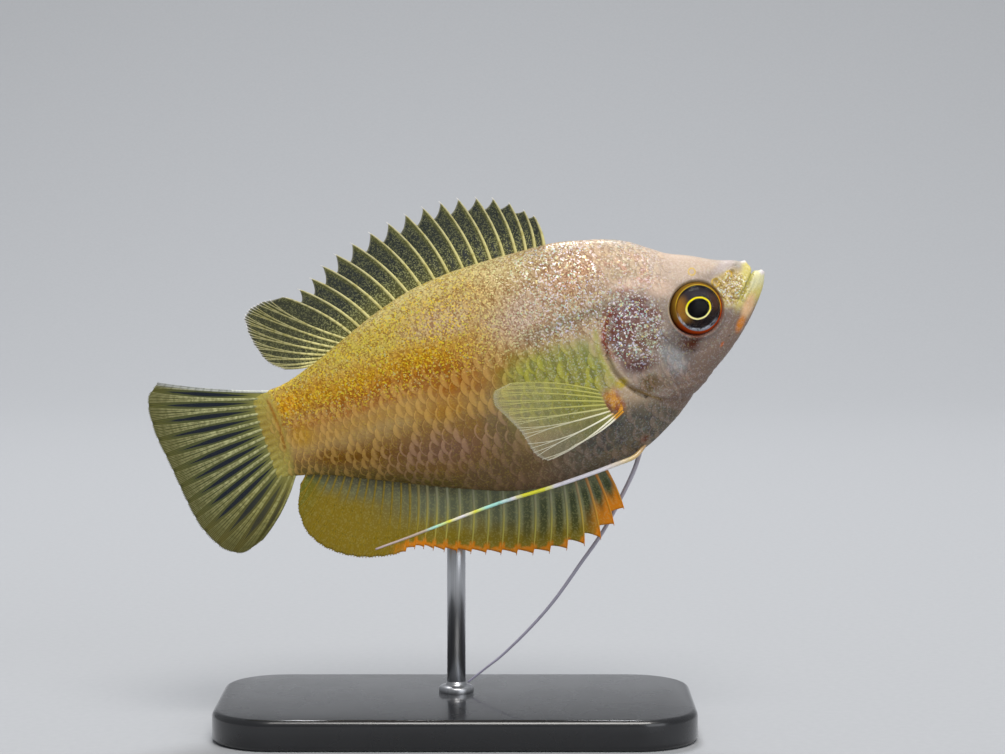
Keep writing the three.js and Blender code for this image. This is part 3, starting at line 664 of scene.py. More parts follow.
def trims(paint, a, h):
    """Small marks: the root of the tail fin, the girdle behind the gills and the spots of the
    throat. Gives the mask of the tail fin's root."""
    # End of the body on the tail fin
    stub = (a - (48.3 + h * h * 0.03)).rise(-0.4, 0.5)
    paint.lay(stub, (171, 161, 81))
    edge = (a - (48.85 + h * h * 0.03)).bell(0, 0.28) * h.rise(3.6, 2.6) * h.rise(-2.6, -1.6)
    edge = edge | streak(a, h, (7.7, -0.152), 0.2, (43.6, 44.5), (48.8, 48.4))
    paint.lay(edge * 0.8, (151, 96, 29))
    # Girdle, and the red gill skin that shows in the opening
    girdle = (a - (17.5 - (h + 2.4) * (h + 2.4) * 0.05)).bell(0, 0.5)
    paint.lay(girdle * h.rise(0.6, -0.6) * h.rise(-6, -5) * 0.8, (167, 167, 79))
    slit = (a - (16.75 - (h + 1.7) * (h + 1.7) * 0.2)).bell(0, 0.42)
    paint.lay(slit * h.rise(1.7, 1.1) * h.rise(-4.4, -1.4) * 0.9, (146, 52, 34))
    # Spots of the throat and breast
    paint.lay(spot(a, h, (16.4, -5.6), (0.9, 0.7), -20, 0.7), (191, 168, 63))
    paint.lay(streak(a, h, (-18.9, 0.8), 0.32, (12.8, 13.4), (16.1, 15.7)), (155, 126, 81))
    paint.lay(spot(a, h, (15.9, -11.6), (0.9, 0.5), -30, 0.9), (120, 72, 48))
    paint.lay(spot(a, h, (6.1, -5.2), (0.45, 0.2), -40, 0.8), (188, 102, 55))
    return stub


def between_rays(ray):
    """0 on a ray and 1 midway between two."""
    return 1 - abs(ray.math("FRACT") * 2 - 1)


def glitter(place, scale):
    """Two random numbers for each grain of the paint."""
    grain = place.node("ShaderNodeTexVoronoi", {"Vector": place, "Scale": scale}, output=1)
    first = grain.node("ShaderNodeSeparateColor", {0: grain})
    return first, Wire(place.tree, first.socket.node.outputs[1])


def markings(paint, a, h, a1, h1, place, blotch, stub):
    """Marks that vary within a few tenths of a millimetre. Gives the mask of the gill cover."""
    cover = spot(a1, h1, (13.8, -0.9), (4.3, 4.9), 4, 0.6)
    # Dark and pearly blotches of the gill cover, and grey ones of the breast
    paint.lay(cover * blotch.rise(0.48, 0.6) * 0.75, (96, 44, 50))
    paint.lay(cover * blotch.rise(0.44, 0.34) * 0.45, (150, 158, 170))
    breast = h.rise(-8.4, -9.4) * a.rise(11, 14) * a.rise(23, 19)
    paint.lay(breast * blotch.rise(0.5, 0.62) * 0.6, (70, 74, 82))
    # Milky cheek and olive snout
    milk = spot(a, h, (10.9, -5.4), (1.9, 2.4), -14, 0.8) * noise(place, 1.7, 4.0).rise(0.48, 0.62)
    paint.lay(milk * 0.3, (180, 168, 174))
    olive = spot(a, h, (4.2, -0.6), (2.0, 1.9), -30, 0.6) * noise(place, 2.6, 4.0).rise(0.46, 0.6)
    paint.lay(olive * 0.75, (140, 112, 34))
    # Yellow rings of the nostrils and of a pore
    for middle, size in (((4.92, 0.62), 0.34), ((3.43, 0.96), 0.28), ((6.75, 2.3), 0.3)):
        ring = spot(a, h, middle, (size * 1.9, size * 1.9), 0, 1.0).bell(0.42, 0.34)
        paint.lay(ring * 0.75, (214, 178, 40))
    # Skin round the eye, rosy nape and the line of the mouth
    across, over = a - float(EYE[0]), h - float(EYE[2])
    from_eye = (across * across + over * over).math("SQRT")
    lid = h.rise(-2.6, -0.2).blend((148, 80, 50), (206, 176, 100))
    paint.lay(from_eye.rise(2.8, 2.6) * from_eye.rise(2.3, 2.5) * 0.35, lid)
    rose = spot(a, h, (12.6, 4.2), (4.6, 2.6), 24, 0.8) * blotch.rise(0.48, 0.6)
    paint.lay(rose * 0.5, (222, 160, 140))
    gape = abs(a + h * 0.95 - 1.55).rise(0.5, 0.0) * h.rise(-2.0, -1.2) * h.rise(1.6, 0.8)
    paint.lay(gape * 0.5, (150, 150, 40))
    # Orange root of the pectoral fin, first stretch of the tail rays, and pale lips with a painted
    # highlight on their rims
    root = spot(a1, h1, (17.5, -7.1), (1.3, 2.0), -12, 0.7)
    paint.lay(root * 0.85, blotch.rise(0.4, 0.6).blend((210, 146, 34), (150, 70, 22)))
    gap = between_rays((3.75 - h / ((a - 49) * 0.112 + 1)) / 0.642)
    paint.lay(stub * gap.rise(0.4, 0.0) * a.rise(48.6, 50.2) * 0.4, (196, 192, 120))
    paint.lay(stub * gap.rise(0.5, 0.9) * a.rise(49.4, 50.5) * 0.5, (92, 92, 44))
    upper_lip, jaw_tip = ((1.45, 1.7), (0.75, 0.4)), ((0.2, 0.1), (0.5, 0.45))
    # The lips' rims are pale, and a painted highlight is laid on them in the same colour.
    lip_rim_highlight = spot(a, h, *upper_lip, 0, 0.8) | spot(a, h, *jaw_tip, 0, 0.8)
    paint.lay(lip_rim_highlight * 0.75, (216, 208, 222))
    return cover


def shades(paint, a, h, a1, h1, leaf):
    """Pale patch over the eye, painted shade that darkens the underside, bars over the leaf and
    a warm wash.
    """
    paint.lay(spot(a, h, (10.2, 1.7), (2.3, 1.3), 20, 0.9) * 0.7, (226, 196, 174))
    # Painted shade: the underside darkens towards the belly, more so behind, and in two soft
    # patches on the cheek and on the flank.
    low = h.rise(-3.5, -10) * (0.28 + a.rise(34, 46) * 0.12)
    low = low | spot(a, h, (10.6, -4.4), (2.4, 2.4), 0, 0.9) * 0.2
    low = low | spot(a, h, (29.5, -2.2), (2.8, 2.2), 0, 0.9) * 0.18
    paint.lay(low, (34, 22, 8))
    bars = (a * 6.1).math("SINE").rise(-0.1, 0.6)
    paint.lay(leaf * bars * 0.45, (92, 100, 44))
    paint.lay(streak(a1, h1, (0.6, -0.01), 4.5, (23, 30)) * 0.3, (170, 104, 4))


def scale_shades(paint, a, h, margin, leaf, clear, nape):
    """Front of each scale in the shade of the next one, and its pale free edge."""
    edge, front = margin
    lower = h.rise(1.6, 0.2) * a.rise(24, 29) * h.rise(-9.5, -6)
    paint.lay(front * (0.08 + lower * 0.14 + leaf * 0.12), leaf.blend(UMBER, (98, 104, 60)))
    pale = Layers(a.rise(20, 30).blend((222, 196, 164), (212, 168, 92)))
    pale.lay(h.rise(-3.5, -5.5) * a.rise(42, 38) * 0.7, (186, 148, 134))
    pale.lay(leaf, (196, 192, 60))
    paint.lay(edge * (0.18 + lower * 0.26 + leaf * 0.2 + nape * 0.2) * clear, pale.colour)


def fish_paint(wire, margin=None):
    """Colour, roughness, metal share and bump height of skin and coat. A first pair of places is
    shifted by noise, for the zones with uneven borders. Margin holds the masks of a scale's free
    edge and of its front."""
    a, h, place = fish_frame(wire)
    drift = noise(place, 0.5, 3.0) - 0.5
    a1, h1 = a + drift * 2.4, h + drift * 1.6
    blotch = noise(place, 1.1, 4.0)
    paint = ground(a1, h1)
    # Two patches of gold in front of the tail fin
    paint.lay(spot(a, h, (47.2, 2.0), (1.6, 1.4), 0, 0.8), (222, 161, 31))
    paint.lay(spot(a, h, (47.0, -1.2), (2, 1.8), 0, 0.9), (189, 148, 51))
    leaf = green(paint, a1, h1)
    face(paint, a, h, a1, h1)
    stub = trims(paint, a, h)
    cover = markings(paint, a, h, a1, h1, place, blotch, stub)
    shades(paint, a, h, a1, h1, leaf)

    # Glitter: bright grains, which are painted glints of light, and dark flecks, thickest on the
    # upper flank and the gill cover
    first, second = glitter(place, GLITTER_GRAINS)
    nape = a.rise(7.5, 11) * h.rise(1.2, 2.6) * a.rise(17, 14)
    snout = spot(a, h, (3.6, -0.4), (2.4, 2.0), 0, 0.5)
    upper = h1.rise(-1.4, 0.8) * a.rise(13, 16.5) * (1 - stub) | nape * 0.5
    zone = upper * (0.7 + blotch.rise(0.36, 0.6) * 0.3) | cover | leaf * 0.35 | snout * 0.7 | 0.14
    glint, fleck = first.rise(0.7, 0.8) * zone, first.rise(0.44, 0.3) * zone
    cool = second.node("ShaderNodeValToRGB", {0: second}, stops=COOL_PAINTED_GLINTS)
    warm = second.node("ShaderNodeValToRGB", {0: second}, stops=WARM_PAINTED_GLINTS)
    paint.lay(glint * 0.8, a.rise(19, 30).blend(cool, warm))
    paint.lay(fleck * 0.65, a.rise(12, 28).blend((108, 60, 46), (124, 70, 2)))
    if margin:
        scale_shades(paint, a, h, margin, leaf, 1 - cover, nape)
    height = noise(place, 5.0, 3.0) * 0.5 + glint * 0.4
    return paint.colour, 0.5 - glint * 0.2, glint * 0.35, height


def fish_finish(name, margin_of=None):
    """Painted and lacquered finish, with the fine grain of the paint as a bump."""
    lacquer = {"Coat_Weight": 0.05, "Coat_Roughness": 0.25, "Specular_IOR_Level": 0.1}
    made, shader, wire = material(name, **lacquer)
    colour, rough, metal, height = fish_paint(wire, margin_of and margin_of(wire))
    feed(shader, colour, "Base Color")
    feed(shader, rough, "Roughness")
    feed(shader, metal, "Metallic")
    bump = {"Height": height, "Strength": 0.3, "Distance": 5e-5}
    feed(shader, height.node("ShaderNodeBump", bump), "Normal")
    return made


skin.data.materials.append(fish_finish("skin_paint"))


# Scales
# Overlapping plates, rounded at the back, set in slanting rows over flank, back, cheek and gill
# cover. Each is a thin closed shell with its front sunk in the skin and its rear edge free. Its
# outline is measured in shares of the pitch at its place, and its lift and thickness in mm.
SCALE_SIDES = 14
PITCH_ALONG = profile([
    [6, 0.7], [12, 0.88], [18, 1.0], [30, 1.03], [38, 0.92], [44, 0.76], [49, 0.6],
])
PITCH_ROUND = profile([
    [6, 0.72], [12, 0.93], [18, 1.1], [30, 1.12], [38, 0.97], [44, 0.8], [49, 0.64],
])
SCALE_RINGS = [(0.55, 0), (0.965, 0), (1, 0.3), (0.95, 1)]
SCALE_LIFT = 0.008
SCALE_SINK = 0.05
SCALE_THICK = 0.014
SCALE_ARCH = 0.012
SCALE_BLUNT = 0.85
SCALE_NARROWING = 0.12
SCALE_ROWS = np.arange(-16, 17)
SCALES_FROM, SCALES_TO, SCALES_PAST = 6.0, 49, 0.2
SCALE_RAMP = (-0.95, 0.6)
SHORTEST, LENGTH_SPREAD = 0.98, 0.06
UNEVEN_ALONG, UNEVEN_ROUND = 0.03, 0.025
PATCH = 0.0015
APART = 1000

half = AROUND // 2 + 1
arc = np.linalg.norm(np.diff(bare[:, :half], axis=1), axis=-1)
arc = np.concatenate([np.zeros((SECTIONS, 1)), np.cumsum(arc, axis=1)], 1)
arc -= arc[:, AROUND // 4, None]


def turn_at(row, s):
    """Turn at a distance s below the widest line of whole-numbered sections. The sections' arcs are
    set end to end, APART from each other, so that one table answers for all of them."""
    offset = np.arange(SECTIONS)[:, None] * APART
    inside = np.clip(s, arc[row, 0], arc[row, -1])
    return np.interp(inside + row * APART, (arc + offset).ravel(), np.tile(turns[:half], SECTIONS))


def on_skin(a, s):
    """Points and normals of the finished skin at distance a and s below its widest line, from the
    four grid points around each place."""
    row = np.clip(np.interp(a, STATIONS, np.arange(SECTIONS)), 0, SECTIONS - 1.001)
    low = row.astype(int)
    share = (row - low)[..., None]
    both = []
    for grid in (skin_points, skin_normals):
        found = 0
        for i, weight in ((low, 1 - share), (low + 1, share)):
            column = turn_at(i, s) * AROUND
            j = column.astype(int)
            part = (column - j)[..., None]
            found += weight * ((1 - part) * grid[i, j] + part * grid[i, (j + 1) % AROUND])
        both.append(found)
    return both[0], both[1] / np.linalg.norm(both[1], axis=-1, keepdims=True)


def scale_places(seed, fits):
    """Roots (a, s) of the scales: rows at even steps round the body, each second row shifted by
    half a scale, with a little unevenness. Fits says from a and h which places carry one."""
    ladder = [SCALES_FROM]
    while ladder[-1] < SCALES_TO:
        ladder.append(ladder[-1] + float(PITCH_ALONG(ladder[-1])))
    column, row = np.meshgrid(np.arange(len(ladder) - 1), SCALE_ROWS, indexing="ij")
    a = np.interp(column + (row % 2) / 2, np.arange(len(ladder)), ladder)
    s = row * PITCH_ROUND(a)
    draw = np.random.default_rng(seed)
    a, s = a + draw.normal(0, UNEVEN_ALONG, a.shape), s + draw.normal(0, UNEVEN_ROUND, s.shape)
    height = on_skin(a, s)[0][..., 2]
    station = np.clip(np.searchsorted(STATIONS, a), 0, SECTIONS - 1)
    inside = (s > arc[station, 0] - SCALES_PAST) & (s < arc[station, -1] + SCALES_PAST)
    keep = inside & fits(a, height)
    return a[keep], s[keep], draw.random((keep.sum(), 2))


def mark_points(made, name, vectors):
    """Names a vector at every point of the mesh, for the material to read."""
    mark = made.data.attributes.new(name, "FLOAT_VECTOR", "POINT")
    mark.data.foreach_set("vector", vectors.ravel().astype(np.float32))


def scale_coat(name, side, seed, fits, slot, nodes, size, lift):
    """Joined shells. A shell is rings round its middle: x runs to the rear and y down the flank,
    the outline is an oval with a blunt front, and the top rises along x from SCALE_SINK under the
    skin to SCALE_LIFT over it, arched across y. Size is the coat's share of the full pitch in both
    directions, and lift its share of SCALE_LIFT."""
    a0, s0, chance = scale_places(seed, fits)
    angle = np.arange(SCALE_SIDES) / SCALE_SIDES * 2 * np.pi
    reach, under = np.array(SCALE_RINGS).T[..., None]
    x = np.append(0, reach * np.cos(angle) * np.where(np.cos(angle) < 0, SCALE_BLUNT, 1))
    y = np.append(0, reach * np.sin(angle) * (1 - SCALE_NARROWING * np.cos(angle)))
    edge = np.append(0, np.broadcast_to(under, (len(SCALE_RINGS), SCALE_SIDES)))
    high = (SCALE_SINK + SCALE_LIFT * lift) * step(x, *SCALE_RAMP) - SCALE_SINK
    high += SCALE_ARCH * (1 - y**2) - SCALE_THICK * edge
    long = (PITCH_ALONG(a0) * size[0] * (SHORTEST + LENGTH_SPREAD * chance[:, 0]))[:, None]
    wide = (PITCH_ROUND(a0) * size[1])[:, None]
    points, normals = on_skin(a0[:, None] + x * long, s0[:, None] + y * wide)
    points = (points + normals * high[:, None]) * np.array([1, -side, 1])
    i, j = quads(len(SCALE_RINGS), SCALE_SIDES, ring=True)
    around = np.arange(SCALE_SIDES)
    cap = np.stack([0 * around, 1 + (around + 1) % SCALE_SIDES, 1 + around], -1)
    base = len(x) - SCALE_SIDES + around[None, :]
    shift = (np.arange(len(a0)) * len(x))[:, None, None]
    shells = [1 + i * SCALE_SIDES + j % SCALE_SIDES, cap, base]
    faces = [(shell + shift).reshape(-1, shell.shape[1]) for shell in shells]
    turn = turn_at(np.searchsorted(STATIONS, a0), s0)
    root = unwrap(np.interp(a0, STATIONS, np.arange(SECTIONS)), turn * AROUND)
    if side > 0:
        root[:, 1] = 1 - root[:, 1]
    spots = (root[:, None, :] + PATCH * np.stack([x, y], -1)).reshape(-1, 2)
    made = piece(name, placed(points), faces, [spots[ring] for ring in faces])
    mark_points(made, "scale", np.stack(np.broadcast_arrays(x, y, chance[:, 1:]), -1))
    hang(made, slot, *nodes, finish=scale_paint)


def flank(a, h):
    """Body and nape: all that lies behind the gill opening or over the eye, clear of the fin
    root."""
    behind = from_line(a, h, GILL_OPENING)[0] < -0.35
    nape = (h > 2.6) & (a > 8.4)
    root = np.hypot((a + 0.5 - PECTORAL_ROOT[0]) / 1.5, (h - PECTORAL_ROOT[1]) / 2.2)
    return (behind | nape) & (root > 1) & (a < 49.6 + h * h * 0.03)


def cheek(a, h):
    """Gill cover and cheek behind the eye, down to the edge of the cover."""
    gill = from_line(a, h, GILL_OPENING)[0]
    clear = np.hypot(a + 0.4 - EYE[0], h - EYE[2]) > RIM_RADIUS + 0.6
    return (gill > 0.75) & clear & (a > 9.2) & (h < 2.4) & (h > -7.2)


def scale_zones(wire):
    """Masks of a scale's free edge and of its shaded front part. The mark's third number is chance,
    and makes the crescent of the edge broader on some scales than on others."""
    mark = wire.node("ShaderNodeAttribute", attribute_name="scale", output=1)
    x = mark.node("ShaderNodeSeparateXYZ", {0: mark})
    far = mark.node("ShaderNodeVectorMath", {0: mark}, operation="LENGTH", output=1)
    return far.rise(0.88, 0.96) * x.rise(0.2, 0.6), x.rise(0.75, 0.3)


SIDES = {"right": -1, "left": 1}
scale_paint = fish_finish("scale_paint", scale_zones)
for word, side in SIDES.items():
    flesh, cheeks = ["trunk", "tail_stalk", "head"], ["gill_cover_" + word, "head"]
    coats = {
        "flank_scales_": (7 + side, flank, "skin", flesh, (1.0, 1.0), 1.0),
        "cheek_scales_": (17 + side, cheek, "gill_cover", cheeks, (0.85, 0.8), 0.3),
    }
    for name, coat in coats.items():
        scale_coat(name + word, side, *coat)


# Eyes
# Glossy balls that look a little forward out of their sockets: an orange-brown outer ring with a
# silver line, a dark dished iris, a thin gold ring and a black pupil, under a clear domed cornea.
EYE_FORWARD = np.radians(12)
EYE_TURNS, BALL_STEPS, DOME_STEPS = 72, 96, 20
BALL_LINE = [
    [0, 1.16], [0.5, 1.13], [0.9, 1.05], [1.02, 1], [1.12, 1], [1.24, 0.97], [1.36, 0.9],
    [1.65, 0.8], [1.98, 0.79], [2.1, 0.88], [2.18, 0.93], [2.28, 0.87], [2.4, 0.66], [2.5, 0.32],
    [2.54, -0.1], [2.2, -0.7], [1.2, -1.2], [0, -1.35],
]
PUPIL_SQUASH = 0.83
CORNEA_RADIUS, CORNEA_FOOT, CORNEA_RISE, CORNEA_THICK = 2.16, 0.9, 0.62, 0.07
IRIS_TOP, IRIS_LOW, IRIS_AMBER = (44, 42, 50), (24, 18, 22), (150, 104, 34)
IRIS_RING, RING_PALE, PUPIL = (244, 226, 24), (252, 244, 168), (1, 1, 2)
EYE_RUST, EYE_GOLD, EYE_SILVER_AND_GLOW = (172, 62, 14), (132, 98, 34), (206, 212, 226)


def spin(line, sides):
    """Turned shape: each inner [radius, height] of the line is carried round the axis, and the
    first and last, which lie on the axis, close it with fans. Gives points (x, y, height) and
    faces."""
    line = np.array(line, float)
    radius, height = line[1:-1].T[..., None]
    angle = np.arange(sides) / sides * 2 * np.pi
    x, y = radius * np.cos(angle), radius * np.sin(angle)
    rings = np.stack(np.broadcast_arrays(x, y, height), -1)
    points = np.concatenate([rings.reshape(-1, 3), [[0, 0, line[0, 1]], [0, 0, line[-1, 1]]]])
    i, j = quads(len(radius), sides, ring=True)
    around = np.arange(sides)
    after = (around + 1) % sides
    last = (len(radius) - 1) * sides
    tip = 0 * around + last + sides
    fans = [(tip, after, around), (tip + 1, last + around, last + after)]
    return points, [i * sides + j % sides, np.concatenate([np.stack(fan, -1) for fan in fans])]


def in_socket(disc, side):
    """Fish-frame places of (rearward, up, out) places of an eye, set in its socket on that side."""
    rear, up, out = disc.T
    a = EYE[0] + rear * np.cos(EYE_FORWARD) - out * np.sin(EYE_FORWARD)
    y = side * (EYE[1] + out * np.cos(EYE_FORWARD) + rear * np.sin(EYE_FORWARD))
    return placed(np.stack([a, y, EYE[2] + up], -1))


def attribute(wire, name):
    """The three parts of a named vector of the surface."""
    mark = wire.node("ShaderNodeAttribute", attribute_name=name, output=1)
    split = mark.node("ShaderNodeSeparateXYZ", {0: mark})
    return [Wire(wire.tree, split.socket.node.outputs[k]) for k in range(3)]


def iris_finish():
    """Paint of the ball in rings round its axis. Rear and up are places on the disc, and the ring
    round the pupil is a little lower than it is long."""
    made, shader, wire = material("eye_paint", Roughness=0.5, Specular_IOR_Level=0.05)
    rear, up, _ = attribute(wire, "disc")
    place = in_millimetres(wire)
    wave = noise(place, 2.2, 3.0) - 0.5
    radius = (rear * rear + up * up).math("SQRT")
    hole = (rear * rear + up * up / PUPIL_SQUASH**2).math("SQRT") + wave * 0.1
    paint = Layers((up + wave * 1.5).rise(-0.8, 0.8).blend(IRIS_LOW, IRIS_TOP))
    paint.lay(rear.rise(0.5, 1.5) * (up + wave).rise(-1.4, -0.3) * up.rise(2.0, 1.1), IRIS_AMBER)
    paint.lay(rear.rise(-0.9, -1.8) * up.bell(0.2, 1.5) * 0.4, (104, 62, 26))
    paint.lay(noise(place, 5.0, 3.0).rise(0.45, 0.7) * 0.25, (96, 76, 60))
    # Silver line along the bottom of the iris, and a painted glow of light just inside it.
    low = (up - rear * 0.5).rise(-0.5, -1.7)
    painted_iris_glow = radius.bell(2.04, 0.2) * low * (wave + 0.5).rise(0.35, 0.6)
    paint.lay(painted_iris_glow + radius.bell(2.13, 0.07) * low * 0.6, EYE_SILVER_AND_GLOW)
    outside = radius.rise(2.17, 2.22)
    paint.lay(outside, (up + rear * 0.3).rise(-1.0, 0.8).blend(EYE_RUST, EYE_GOLD))
    paint.lay(radius.rise(2.42, 2.54) * 0.6, (92, 52, 26))
    paint.lay(radius.bell(2.22, 0.07) * (up - rear * 0.4).rise(-0.4, 0.6) * 0.6, (226, 190, 40))
    ring = hole.rise(1.31, 1.27) * hole.rise(1.08, 1.12)
    paint.lay(ring, (up - rear * 0.4).rise(0.3, -0.9).blend(IRIS_RING, RING_PALE))
    paint.lay(hole.rise(1.12, 1.08), PUPIL)
    feed(shader, paint.colour, "Base Color")
    return made


def cornea_finish():
    """Clear coat: see-through from the front, mirroring more towards its rim."""
    made, shader, wire = material("cornea_clear", Roughness=0.02, Metallic=1.0)
    shader.inputs["Base Color"].default_value = (1, 1, 1, 1)
    gloss = wire.node("ShaderNodeFresnel", {"IOR": 1.13})
    clear = wire.node("ShaderNodeBsdfTransparent")
    mirror = Wire(wire.tree, shader.outputs[0])
    both = wire.node("ShaderNodeMixShader", {0: gloss, 1: clear, 2: mirror})
    wire.tree.links.new(both.socket, wire.tree.nodes["Material Output"].inputs["Surface"])
    return made


iris_paint, cornea_clear = iris_finish(), cornea_finish()
dome = np.linspace(0, 1, DOME_STEPS)
outer = np.stack([CORNEA_RADIUS * dome, CORNEA_FOOT + CORNEA_RISE * np.sqrt(1 - dome**2)], -1)
inner = outer[::-1] - np.array([0, CORNEA_THICK])
eye_parts = {
    "eyeball_": (spline(BALL_LINE, BALL_STEPS), iris_paint),
    "cornea_": (np.concatenate([outer, inner]), cornea_clear),
}
for word, side in SIDES.items():
    for name, (line, finish) in eye_parts.items():
        disc, faces = spin(line, EYE_TURNS)
        made = piece(name + word, in_socket(disc, side), faces)
        mark_points(made, "disc", disc)
        hang(made, "eye", "eye_" + word, finish=finish)


# Dorsal fin
# Seventeen bony spines, free at their tips, and eight soft branching rays, with a thin speckled
# skin between them. Spines and rays are tapered rods and the skin a sheet round their middles.
MEMBRANE = 0.05
RAY_SIDES = 8
RAY_STEPS = 26
WEB_STEPS = 30
WEB_COLUMNS = np.array([0, 0.06, 0.16, 0.28, 0.4, 0.52, 0.64, 0.76, 0.86, 0.945])
WEB_CROWDING, WEB_THINNING = 0.9, 0.6
ROOT_DEPTH = 0.9
FORK_LAP, FORK_THINNING, FORK_BEND = 0.03, 0.86, 1.1
SPINE_POINT, SPINE_BEND = 0.14, 0.55


def fin_sheet(base, tip, bow, sway):
    """Middle sheet of a fin: a ray runs straight from base to tip, bowed by a parabola, and sways
    out of the middle plane of the fish."""
    def at(ray, share):
        from_a, from_h = base(ray)
        to_a, to_h = tip(ray)
        arch = 4 * share * (1 - share) * bow(ray)
        a = from_a + (to_a - from_a) * share + arch * (to_h - from_h)
        h = from_h + (to_h - from_h) * share - arch * (to_a - from_a)
        return np.stack(np.broadcast_arrays(a, sway(a, h, share), h), -1)

    def root(ray):
        """Share at which the ray starts, ROOT_DEPTH inside the flesh."""
        from_a, from_h = base(ray)
        to_a, to_h = tip(ray)
        return -ROOT_DEPTH / np.hypot(to_a - from_a, to_h - from_h)

    return at, root


def unit(vectors):
    """Vectors brought to length 1."""
    return vectors / np.maximum(np.linalg.norm(vectors, axis=-1, keepdims=True), 1e-9)


def rods(paths, radii, sides=RAY_SIDES):
    """Closed round rods, one for each path: a ring of the path's radius stands square to the path
    at each of its points. Gives points, the rings' faces and the flat ends."""
    ahead = unit(np.gradient(paths, axis=1))
    beside = unit(np.cross(ahead, [0, 1, 0]))
    over = np.cross(beside, ahead)
    angle = np.arange(sides) / sides * 2 * np.pi
    ring = beside[:, :, None] * np.cos(angle)[:, None] + over[:, :, None] * np.sin(angle)[:, None]
    points = paths[:, :, None] + ring * radii[:, :, None, None]
    count, steps = paths.shape[:2]
    i, j = quads(steps, sides, ring=True)
    around = np.arange(sides)
    ends = np.stack([around[::-1], (steps - 1) * sides + around])
    shift = (np.arange(count) * steps * sides)[:, None, None]
    faces = [(shell + shift).reshape(-1, shell.shape[1]) for shell in (i * sides + j % sides, ends)]
    return points.reshape(-1, 3), faces


def branches(level, spread, splits, share):
    """Sideways shifts, in ray steps, of the branches after so many forks: at each fork a branch
    leaves its stem by half the room that the stem has, growing almost evenly to the tip."""
    shifts = np.zeros((1, len(share)))
    for k in range(level):
        run = np.clip((share - splits[k]) / (1 - splits[k]), 0, 1) ** FORK_BEND
        part = run * spread / 2 ** (k + 2)
        shifts = np.concatenate([shifts - part, shifts + part])
    return shifts


def joined(shapes):
    """One mesh from several, each given as points, lists of faces and ray places."""
    points, parts, marks = zip(*shapes)
    starts = np.cumsum([0] + [len(part) for part in points])
    faces = [[ring + start for ring in rings] for start, rings in zip(starts, parts)]
    faces = [np.concatenate(rings) for rings in zip(*faces)]
    return np.concatenate(points), faces, np.concatenate(marks)


def fin_rods(at, root, rays, splits, radius, taper=None, spread=1.0):
    """Rods of some rays, forked at each of the splits, each branch a little thinner than its stem.
    Taper is what is left of the radius at the tip, and a rod without it is a spine that ends in a
    point. Gives points, faces and ray places."""
    shapes = []
    for level in range(len(splits) + 1):
        end = splits[level] + FORK_LAP if level < len(splits) else 1
        for ray in rays:
            start = splits[level - 1] - FORK_LAP if level else root(ray)
            share = np.linspace(start, end, RAY_STEPS)
            shift = branches(level, spread, splits, share)
            paths = at(ray + shift, share[None, :])
            inner = np.clip(share, 0, 1)
            if taper is None:
                thick = radius * (SPINE_POINT + (1 - SPINE_POINT) * (1 - inner) ** SPINE_BEND)
            else:
                thick = radius * (1 + (taper - 1) * inner) * FORK_THINNING**level
            points, faces = rods(paths, np.broadcast_to(thick, paths.shape[:2]))
            mark = np.stack(np.broadcast_arrays(ray + shift, share[None, :], 0.0), -1)
            shapes.append((points, faces, np.repeat(mark.reshape(-1, 3), RAY_SIDES, axis=0)))
    return joined(shapes)


def web(at, root, columns, reach):
    """Skin of a fin: two faces MEMBRANE either side of the middle sheet, closed along the border,
    from the roots of the rays out to reach. Gives points, faces and ray places."""
    share = np.linspace(0, 1, WEB_STEPS)[None, :] ** WEB_CROWDING
    start, stop = root(columns)[:, None], reach(columns)[:, None]
    share = start + (stop - start) * share
    middle = at(columns[:, None], share)
    normal = unit(np.cross(np.gradient(middle, axis=0), np.gradient(middle, axis=1)))
    thin = MEMBRANE * (1 - WEB_THINNING * np.clip(share, 0, 1))[..., None]
    points = np.stack([middle + normal * thin, middle - normal * thin]).reshape(-1, 3)
    wide, long = middle.shape[:2]
    i, j = quads(wide, long)
    flat = i * long + j
    rim = np.concatenate([
        np.arange(long), np.arange(1, wide) * long + long - 1,
        (wide - 1) * long + np.arange(long - 1)[::-1], np.arange(1, wide - 1)[::-1] * long,
    ])
    after = np.roll(rim, -1)
    size = wide * long
    wall = np.stack([after, rim, rim + size, after + size], -1)
    mark = np.stack(np.broadcast_arrays(columns[:, None], share, stop - share), -1).reshape(-1, 3)
    faces = np.concatenate([flat[:, ::-1], flat + size, wall[:, ::-1]])
    return points, [faces], np.concatenate([mark, mark])


def fin_piece(name, shape, finish, node, slot="fin"):
    """Names and hangs one fin mesh on the body in place of its CAD node."""
    points, faces, marks = shape
    made = piece(name, placed(points), faces)
    mark_points(made, "ray", marks)
    hang(made, slot, node, finish=finish)


def fin(name, sheet, groups, reach, finishes, end=""):
    """Rays and skin of one fin, in place of its CAD node. A group of rays is how many there are,
    and then what fin_rods takes: their forks, radius, taper and spread."""
    shapes, count = [], 0
    for size, *form in groups:
        shapes.append(fin_rods(*sheet, range(count, count + size), *form))
        count += size
    columns = np.append((np.arange(count - 1)[:, None] + WEB_COLUMNS).ravel(), count - 1)
    fin_piece(f"{name}_rays{end}", joined(shapes), finishes[0], f"{name}_fin{end}")
    fin_piece(f"{name}_web{end}", web(*sheet, columns, reach), finishes[1], f"{name}_fin{end}")


SPINY_TOP, SPINY_SAG, SOFT_TOP, SOFT_SAG, EVEN_TOP = 0.965, 1.5, 0.995, 0.012, 0.992


def spiny_reach(spines, notch):
    """Reach of the skin: behind a spine it starts near the tip and sinks to the notch in front of
    the next one. Between soft rays it reaches the tips."""
    def reach(ray):
        spine, between = np.floor(ray), ray % 1
        low = notch(spine + 1)
        spiny = low + (SPINY_TOP - low) * (1 - between) ** SPINY_SAG
        soft = SOFT_TOP - SOFT_SAG * np.sin(between * np.pi)
        return np.where(ray < spines - 1, spiny, soft)

    return reach


def even_reach(ray):
    """Reach of a skin that ends in one smooth margin."""
    return EVEN_TOP + 0 * ray


